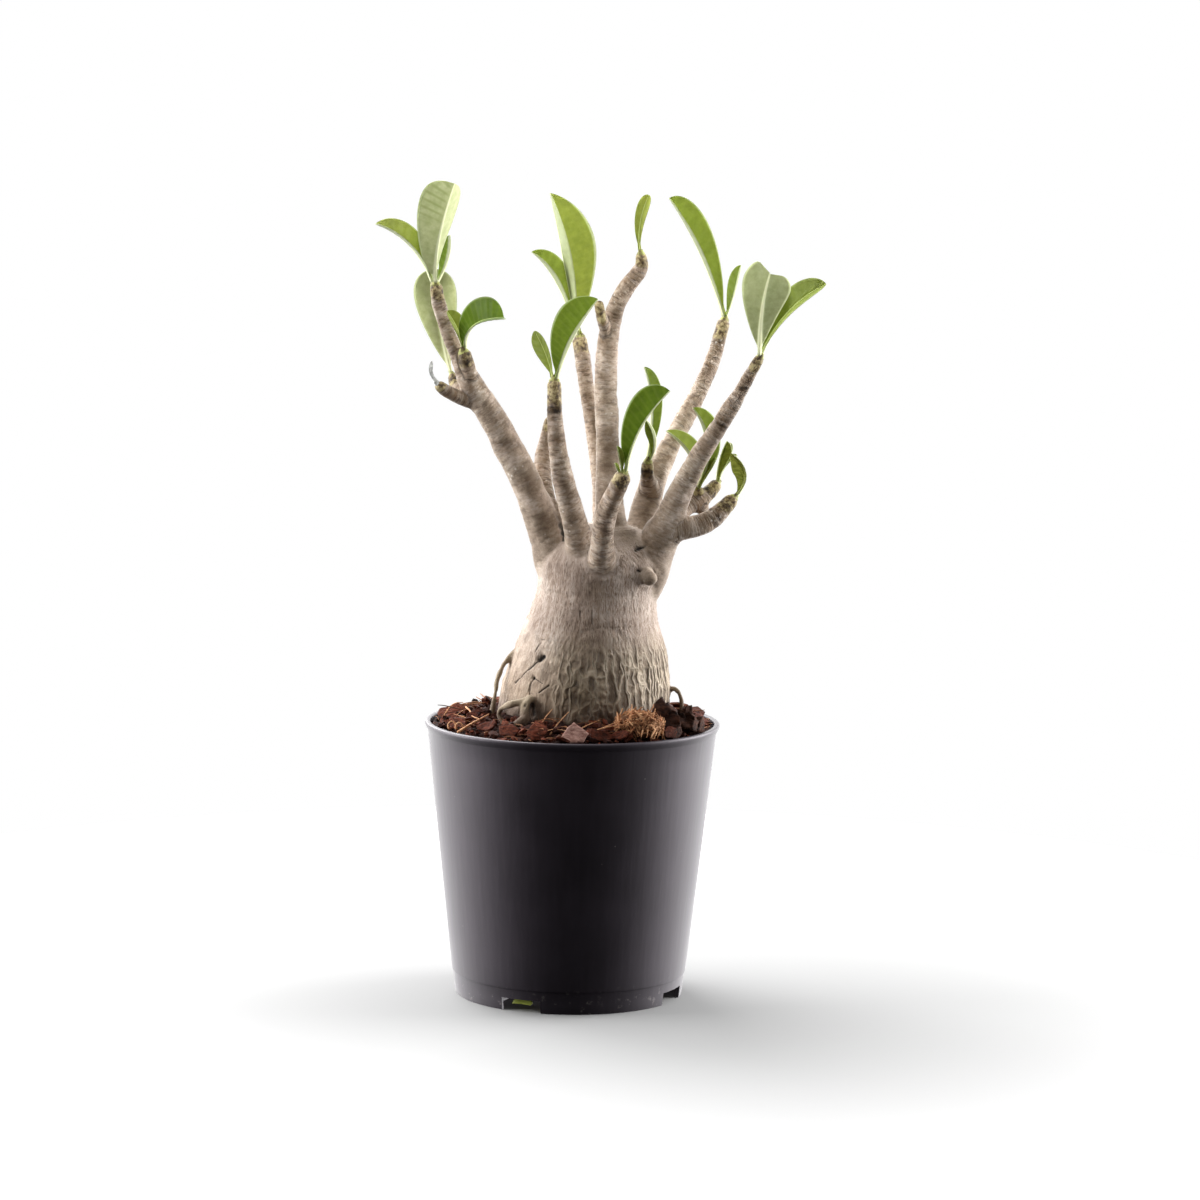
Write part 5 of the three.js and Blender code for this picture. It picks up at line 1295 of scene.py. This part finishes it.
def give_relief(mesh, points, routes, lengths):
    """Moves each point along its normal by the sum of its reliefs, and keeps what the finish reads there: the
    length along its branch and to the tip, the share of caudex, root, cord, ring and film, the painted shade
    in the slits, and the brown places, which are partly weathering and partly painted shade."""
    found = [near_route(points, samples) for samples in routes]
    gaps = np.stack([gap for gap, _ in found], axis=1)
    owner = gaps.argmin(axis=1)
    step = np.stack([nearest for _, nearest in found], axis=1)[np.arange(len(points)), owner]
    longest = max(len(samples) for samples in routes)
    table = np.zeros((len(routes), longest, 5))
    for k, (samples, reached) in enumerate(zip(routes, lengths)):
        table[k, :len(samples), :3] = samples[:, :3]
        table[k, :len(samples), 3] = reached
        table[k, :len(samples), 4] = reached[-1]
    own = table[owner, step]
    out = unit(points - own[:, :3])
    # Length along the branch, made smooth between spheres by the way a point lies ahead of its sphere
    ahead = unit(table[owner, np.minimum(step + 1, longest - 1), :3] - own[:, :3])
    along = own[:, 3] + np.clip(((points - own[:, :3]) * ahead).sum(axis=1), -0.6, 0.6)
    tip = own[:, 4] - along
    least = gaps.min(axis=1)
    caudex = near_caudex(points)
    trunk = ease(-1.0, 1.6, least - caudex)
    is_root = owner >= len(BRANCHES)
    tip = np.where(is_root | (trunk > 0.5), 90.0, tip + 60 * trunk)
    # Ring scars and swellings of the branches
    wrapped = np.stack([along / 1.05 + 17.3 * owner + 0.4 * out[:, 0], 1.2 * out[:, 1] + 5, 1.1 * out[:, 2]
                        + 0.9 * out[:, 0]], axis=1)
    rings = noise(wrapped, 11)
    swelling = noise(np.stack([along / 8 + 3.1 * owner, 1.2 * out[:, 1], 1.2 * out[:, 0]], axis=1), 12)
    coarse = noise(wrapped / (2.1, 1, 1), 16)
    relief = ~is_root * (1 - trunk) * (0.08 * rings + 0.13 * coarse + 0.32 * swelling)
    relief += (is_root * 0.35 + (owner == list(BRANCHES).index("cut_knob")) * 0.5) * noise(points / 3.2, 41)
    # Broad ribs under the cords of the caudex, strongest low on its right front
    slow = points / (9, 9, 15)
    warp = np.stack([noise(slow, 13), noise(slow, 14), np.zeros(len(points))], axis=1)
    ribs = noise((points + 2.6 * warp) / (4.5, 4.5, 17), 15)
    side = np.clip((points[:, 0] + 5) / 26, -1, 1)
    facing = ease(-0.35, 0.25, side) * ease(20, -10, points[:, 1])
    strength = ease(154, 134, points[:, 2] + 2.5 * noise(points / 5, 19)) * (0.12 + 0.88 * facing) * trunk
    broad = noise(points / (11, 11, 22), 18) * trunk
    relief += 0.55 * strength * ribs + 0.35 * broad
    # Where a branch leaves the caudex the skin is pinched
    pinch = np.exp(-((least - caudex) / 0.9) ** 2) * ~is_root
    relief -= 0.25 * pinch
    # The slits and pits sink the skin, and their painted shade is kept for the finish
    depth, crack_shade = crack_depth(points)
    relief -= depth
    move_points(mesh, points + relief[:, None] * mesh_normals(mesh))
    band = np.zeros(len(points))
    names = list(BRANCHES)
    is_knob = owner == names.index("cut_knob")
    angle = np.degrees(np.arctan2(out[:, 0], -out[:, 1]))
    for branch, distance, half_width, faces, spread, dark in BANDS:
        turned_by = np.abs((angle - faces + 180) % 360 - 180)
        wander = 0.45 * half_width * noise(points / 2, 31)
        mark = ease(1.0, 0.55, np.abs(tip - distance + wander) / half_width)
        mark *= ease(spread, spread * 0.6, turned_by)
        band = np.maximum(band, dark * mark * (owner == names.index(branch)))
    # Brown places: weathered skin, and painted shade on the caudex's front and at the forks
    brown = np.zeros(len(points))
    for *middle, radius in WEATHERED_AND_SHADED:
        brown = np.maximum(brown, np.exp(-(np.linalg.norm(points - middle, axis=1) / radius) ** 2))
    reach = np.array([*YOUNG.values(), *[0.1] * len(ROOTS)])[owner]
    give_values(mesh, {
        "tip": np.where(is_knob, 90.0, tip), "along": along + 7.7 * owner,
        "green": np.where(is_knob, -2.0, np.clip(1 - tip / reach, -2, 1)),
        "trunk": np.where(is_root, 0.6, trunk), "root": is_root * ease(-0.2, 0.8, caudex - least),
        "cord": strength, "crack_shade": crack_shade, "band": band, "brown": brown})


# Leaves


def leaf_surface(leaf, rows=44, columns=15):
    """A closed blade. Its midrib is the Bezier curve through base, bend and tip. Half width at share u of
    the blade is u^0.8 (1 - u^full)^point, scaled to peak at 1. Across, q runs from -1 to 1 and each half
    rises with |q|^1.15. The two faces part by the blade's thickness, with a keel under the midrib and a
    crease above it."""
    base, bend, tip = (np.array(leaf[key], float) for key in ("base", "bend", "tip"))
    control = 2 * bend - (base + tip) / 2
    s = (1 - (1 - np.linspace(0, 1, rows + 1)) ** 1.5)[:, None]
    middle = base * (1 - s) ** 2 + 2 * control * s * (1 - s) + tip * s ** 2
    along = unit(2 * (control - base) * (1 - s) + 2 * (tip - control) * s)
    front = np.array([0, -1.0, 0])
    front = unit(front - (along @ front)[:, None] * along)
    aside = np.cross(along, front)
    turn, fold = math.radians(leaf["turn"]), math.radians(leaf["fold"])
    normal = math.cos(turn) * front + math.sin(turn) * aside
    across = -math.sin(turn) * front + math.cos(turn) * aside
    rise, stalk, full, point = 0.8, 0.06, leaf["full"], leaf["point"]
    widest = (rise / (rise + full * point)) ** (1 / full)
    peak = widest ** rise * (1 - widest ** full) ** point
    u = np.clip((s - stalk) / (1 - stalk), 0, 1)
    share = u ** rise * np.maximum(0, 1 - u ** full) ** point / peak
    least = 0.12 + (0.43 + 0.35 * (1 - s) ** 2) * ease(0.99, 0.75, s)
    half = np.maximum(share * leaf["width"] / 2, least)
    step = np.linspace(-1, 1, columns * 2 - 1)
    q = np.sign(step) * (0.55 * np.abs(step) ** 2 + 0.45 * np.abs(step))
    q = np.concatenate([q, q[-2:0:-1]])[None]
    face = np.concatenate([np.ones(len(step)), -np.ones(len(step) - 2)])[None]
    x = half * q
    # A notched tip: the two halves run on past the midrib as lobes, the q > 0 one further
    lobe_shape = np.exp(-((np.abs(x) - 0.33 * leaf["width"]) / (0.21 * leaf["width"])) ** 2)
    longer = np.where(x > 0, leaf.get("notch", 0), 0.3 * leaf.get("notch", 0))
    lobe = longer * np.clip((s - 0.55) / 0.45, 0, 1) ** 2 * lobe_shape
    veins = np.maximum(6, leaf["width"] * 0.62)
    vein = s * veins * 1.15 - 0.9 * np.abs(q) ** 0.8
    ripple = 0.07 * np.sin(2 * math.pi * vein) * ease(0.08, 0.4, np.abs(q)) * ease(1.0, 0.8, np.abs(q))
    seed = abs(int(sum(base) * 7))
    wave_place = np.broadcast_arrays(s * 3.5, q * 1.3, np.full_like(q, 0.5))
    ripple = ripple + 0.022 * leaf["width"] * noise(np.stack(wave_place, axis=-1), seed) * np.abs(q)
    rib_width = 0.35 + 0.75 * (1 - s) * min(1, leaf["width"] / 12)
    keel = 0.85 * (1 - s) * np.exp(-(x / rib_width) ** 2) * min(1, leaf["width"] / 10)
    crease = 0.25 * np.exp(-(x / (0.7 * rib_width)) ** 2) * ease(0.04, 0.2, s)
    thick = 0.34 * np.maximum(0, 1 - np.abs(q) ** 8) ** 0.5 * (1 - 0.35 * s)
    offset = np.where(face > 0, thick - crease, -thick - keel) * (np.abs(q) < 1)
    lift = half * np.abs(q) ** 1.15 * math.sin(fold) + ripple + offset
    points = (middle[:, None] + across[:, None] * (x * math.cos(fold))[..., None]
              + normal[:, None] * lift[..., None] + along[:, None] * lobe[..., None])
    around = points.shape[1]
    quads, _ = ring_faces(rows + 1, around)
    ends = np.stack([np.arange(around)[::-1], rows * around + np.arange(around)])
    upper = np.concatenate([np.tile(np.arange(around) < len(step) - 1, rows), [True, True]])
    ones = np.ones_like(points[..., 0])
    banding = leaf.get("banded", 0) * ease(0.6, 0.78, s) * ease(0.0, 0.25, q) * ease(1.0, 0.85, np.abs(q))
    tone = np.where(face > 0, leaf["tone"], leaf.get("under", 0.0))
    values = {"tone": tone * ones, "midrib": np.abs(x) / (rib_width * (0.35 + 0.65 * (face < 0))),
              "vein": vein * ones, "edge": np.abs(q) * ones, "veining": (0.7 + banding) * ones}
    return points.reshape(-1, 3), [quads, ends], {key: value.ravel() for key, value in values.items()}, upper


def make_tuft(name, stem, leaves, finishes, slot):
    """One piece for a leafy tip: a short green bud on the end of its stem, and the leaves that grow there."""
    route = np.array(BRANCHES[stem], float)
    end, radius = route[-1, :3], route[-1, 3]
    heading = unit(end - route[-2, :3])
    width = 0.55 if slot == "withered" else 0.8
    steps = np.linspace(-0.8, 2.2, 7)
    bulge = radius * width * (1 - 0.55 * ease(0, 2.2, steps))
    bud = np.concatenate([end + steps[:, None] * heading, bulge[:, None]], axis=1)
    points, faces = tubes(bud[None], 14)
    parts = [(points, faces)]
    plain = {"tone": 0.55, "midrib": 3.0, "vein": 0.0, "edge": 0.0, "veining": 0.0}
    values = {key: [np.full(len(points), value)] for key, value in plain.items()}
    choices = [np.full(len(faces[0]) + len(faces[1]), 2)]
    for leaf in leaves:
        blade, lists, numbers, is_upper = leaf_surface(leaf)
        parts.append((blade, lists))
        for key, value in numbers.items():
            values[key].append(value)
        choices.append(np.where(is_upper, 0, 1))
    points, faces = together(parts)
    values = {key: np.concatenate(lists) for key, lists in values.items()}
    own_name = name.replace("leaves", "foliage").replace("leaf", "blade") + "_fine"
    tuft = new_piece(own_name, points, faces, finishes, choice=np.concatenate(choices), values=values)
    stands(tuft, slot, name)


def make_leaves():
    """All tufts. A finish is given for each of upper face, underside and bud."""
    fresh = [waxy_leaf_upper(), pale_leaf_underside(), young_leaf_base()]
    withered = [dry_withered_leaf()] * 3
    for name, (stem, leaves) in TUFTS.items():
        dry = name.startswith("withered")
        make_tuft(name, stem, leaves, withered if dry else fresh, "withered" if dry else "leaf")


# Studio: floor, camera and lights

FLOOR_RADIUS = 430.0
# The camera's place from the pot's axis, its tilt down and roll in degrees, and its lens and sensor width
CAMERA_PLACE = (10.52, -1800, 396.3)
CAMERA_TILT = 7.423
CAMERA_ROLL = 0.894
LENS = 134.11
SENSOR = 36


def make_floor():
    """A round of paper. Past its edge, which its painted glow burns out to white, the white room takes over,
    with no line between them.
    """
    sides = 180
    angle = np.arange(sides) * 2 * math.pi / sides
    edge = np.stack([FLOOR_RADIUS * np.cos(angle), FLOOR_RADIUS * np.sin(angle), np.zeros(sides)], axis=1)
    floor = new_piece("paper_floor", edge, [np.arange(sides)[None]], [glowing_paper_sweep()])
    # The paper takes shadows but throws no light back, so the room alone sets the light from below
    for ray in ("diffuse", "glossy", "transmission", "shadow"):
        setattr(floor, "visible_" + ray, False)


def make_camera():
    """The camera that was fitted to the pot's rim and foot in the photograph, tilted down and rolled."""
    tilt, roll = math.radians(CAMERA_TILT), math.radians(CAMERA_ROLL)
    right = np.array([1.0, 0, 0])
    up = np.array([0, math.sin(tilt), math.cos(tilt)])
    ahead = np.array([0, math.cos(tilt), -math.sin(tilt)])
    tilted_right = math.cos(roll) * right + math.sin(roll) * up
    tilted_up = math.cos(roll) * up - math.sin(roll) * right
    lens = bpy.data.cameras.new("camera")
    lens.lens = LENS
    lens.sensor_width = SENSOR
    lens.clip_end = 30
    camera = bpy.data.objects.new("camera", lens)
    turn = Matrix([tilted_right, tilted_up, -ahead]).transposed().to_4x4()
    camera.matrix_world = Matrix.Translation(np.array(CAMERA_PLACE) * MM + POT_AXIS) @ turn
    bpy.context.scene.collection.objects.link(camera)
    bpy.context.scene.camera = camera


def make_light(name, at, aim, size, power, spread=180):
    """A soft box of that size at a place in metres, turned towards aim. A grid can narrow its spread."""
    lamp = bpy.data.lights.new(name, "AREA")
    lamp.shape = "RECTANGLE"
    lamp.size, lamp.size_y = size
    lamp.energy = power
    lamp.spread = math.radians(spread)
    light = bpy.data.objects.new(name, lamp)
    light.matrix_world = Matrix.Translation(at) @ direction(np.array(at) - np.array(aim)).to_4x4()
    bpy.context.scene.collection.objects.link(light)


def direction(away):
    """Rotation whose local +Z points along away, with local X level."""
    z = unit(np.array(away, float))
    x = unit(np.cross([0, 0, 1.0], z))
    return Matrix([x, np.cross(z, x), z]).transposed()


def make_studio():
    """A white room, bright overhead, behind and beside the plant and dim towards the lens, with a soft box at
    the back left, a lit wall at each side and a gridded box over the lens for the leaves."""
    make_light("left_box", (-0.6, 0.9, 0.95), (0, 0, 0.16), (1.1, 1.1), 30)
    make_light("left_wall", (-1.0, 0.05, 0.4), (0, 0, 0.16), (0.8, 0.9), 16.5)
    make_light("right_wall", (1.0, 0.3, 0.4), (0, 0, 0.16), (0.8, 0.9), 22)
    make_light("leaf_box", (0.0, -0.6, 0.68), (0.01, 0, 0.38), (0.2, 0.2), 0.21, 26)
    world = bpy.data.worlds.new("white_room")
    world.use_nodes = True
    tree = world.node_tree
    tree.nodes.clear()
    seen = add(tree, "LightPath", out="Is Camera Ray")
    towards = add(tree, "TexCoord", out="Generated")
    back, rise = (add(tree, "SeparateXYZ", {"Vector": towards}, out=axis) for axis in (1, 2))
    beside = add(tree, "MapRange",
                 {"Value": back, "From Min": -0.5, "From Max": 0.6, "To Min": 0.02, "To Max": 1.0})
    open_top = add(tree, "MapRange", {"Value": rise, "From Min": 0.3, "From Max": 0.75, "To Max": 0.3})
    beside = add(tree, "Math", {0: beside, 1: open_top}, operation="MAXIMUM")
    overhead = add(tree, "MapRange",
                   {"Value": rise, "From Min": 0.2, "From Max": 0.7, "To Min": 3.4, "To Max": 1.9})
    below = add(tree, "MapRange", {"Value": rise, "From Min": -0.8, "From Max": -0.35})
    band = add(tree, "Math", {0: beside, 1: overhead}, operation="MULTIPLY")
    glow = add(tree, "Math", {0: band, 1: below}, operation="MULTIPLY")
    # To matt surfaces the wall straight behind is dimmer, so that the plant's back isn't burnt out
    matt = add(tree, "LightPath", out="Is Diffuse Ray")
    dimmer = add(tree, "MapRange",
                 {"Value": back, "From Min": 0.5, "From Max": 0.9, "To Min": 1.0, "To Max": 0.15})
    dimmed = add(tree, "Math", {0: glow, 1: dimmer}, operation="MULTIPLY")
    glow = add(tree, "Mix", {0: matt, 2: glow, 3: dimmed})
    strength = add(tree, "Mix", {0: seen, 2: glow, 3: 1.0})
    sky = add(tree, "Background", {"Color": (1, 1, 1, 1), "Strength": strength})
    output = tree.nodes.new("ShaderNodeOutputWorld")
    tree.links.new(sky, output.inputs["Surface"])
    bpy.context.scene.world = world
    bpy.context.scene.view_settings.view_transform = "Standard"


make_pot()
make_soil_bed()
make_soil_chips()
make_soil_fibres()
make_coir_tuft()
make_scraps()
make_living_bark()
make_leaves()
make_floor()
make_camera()
make_studio()
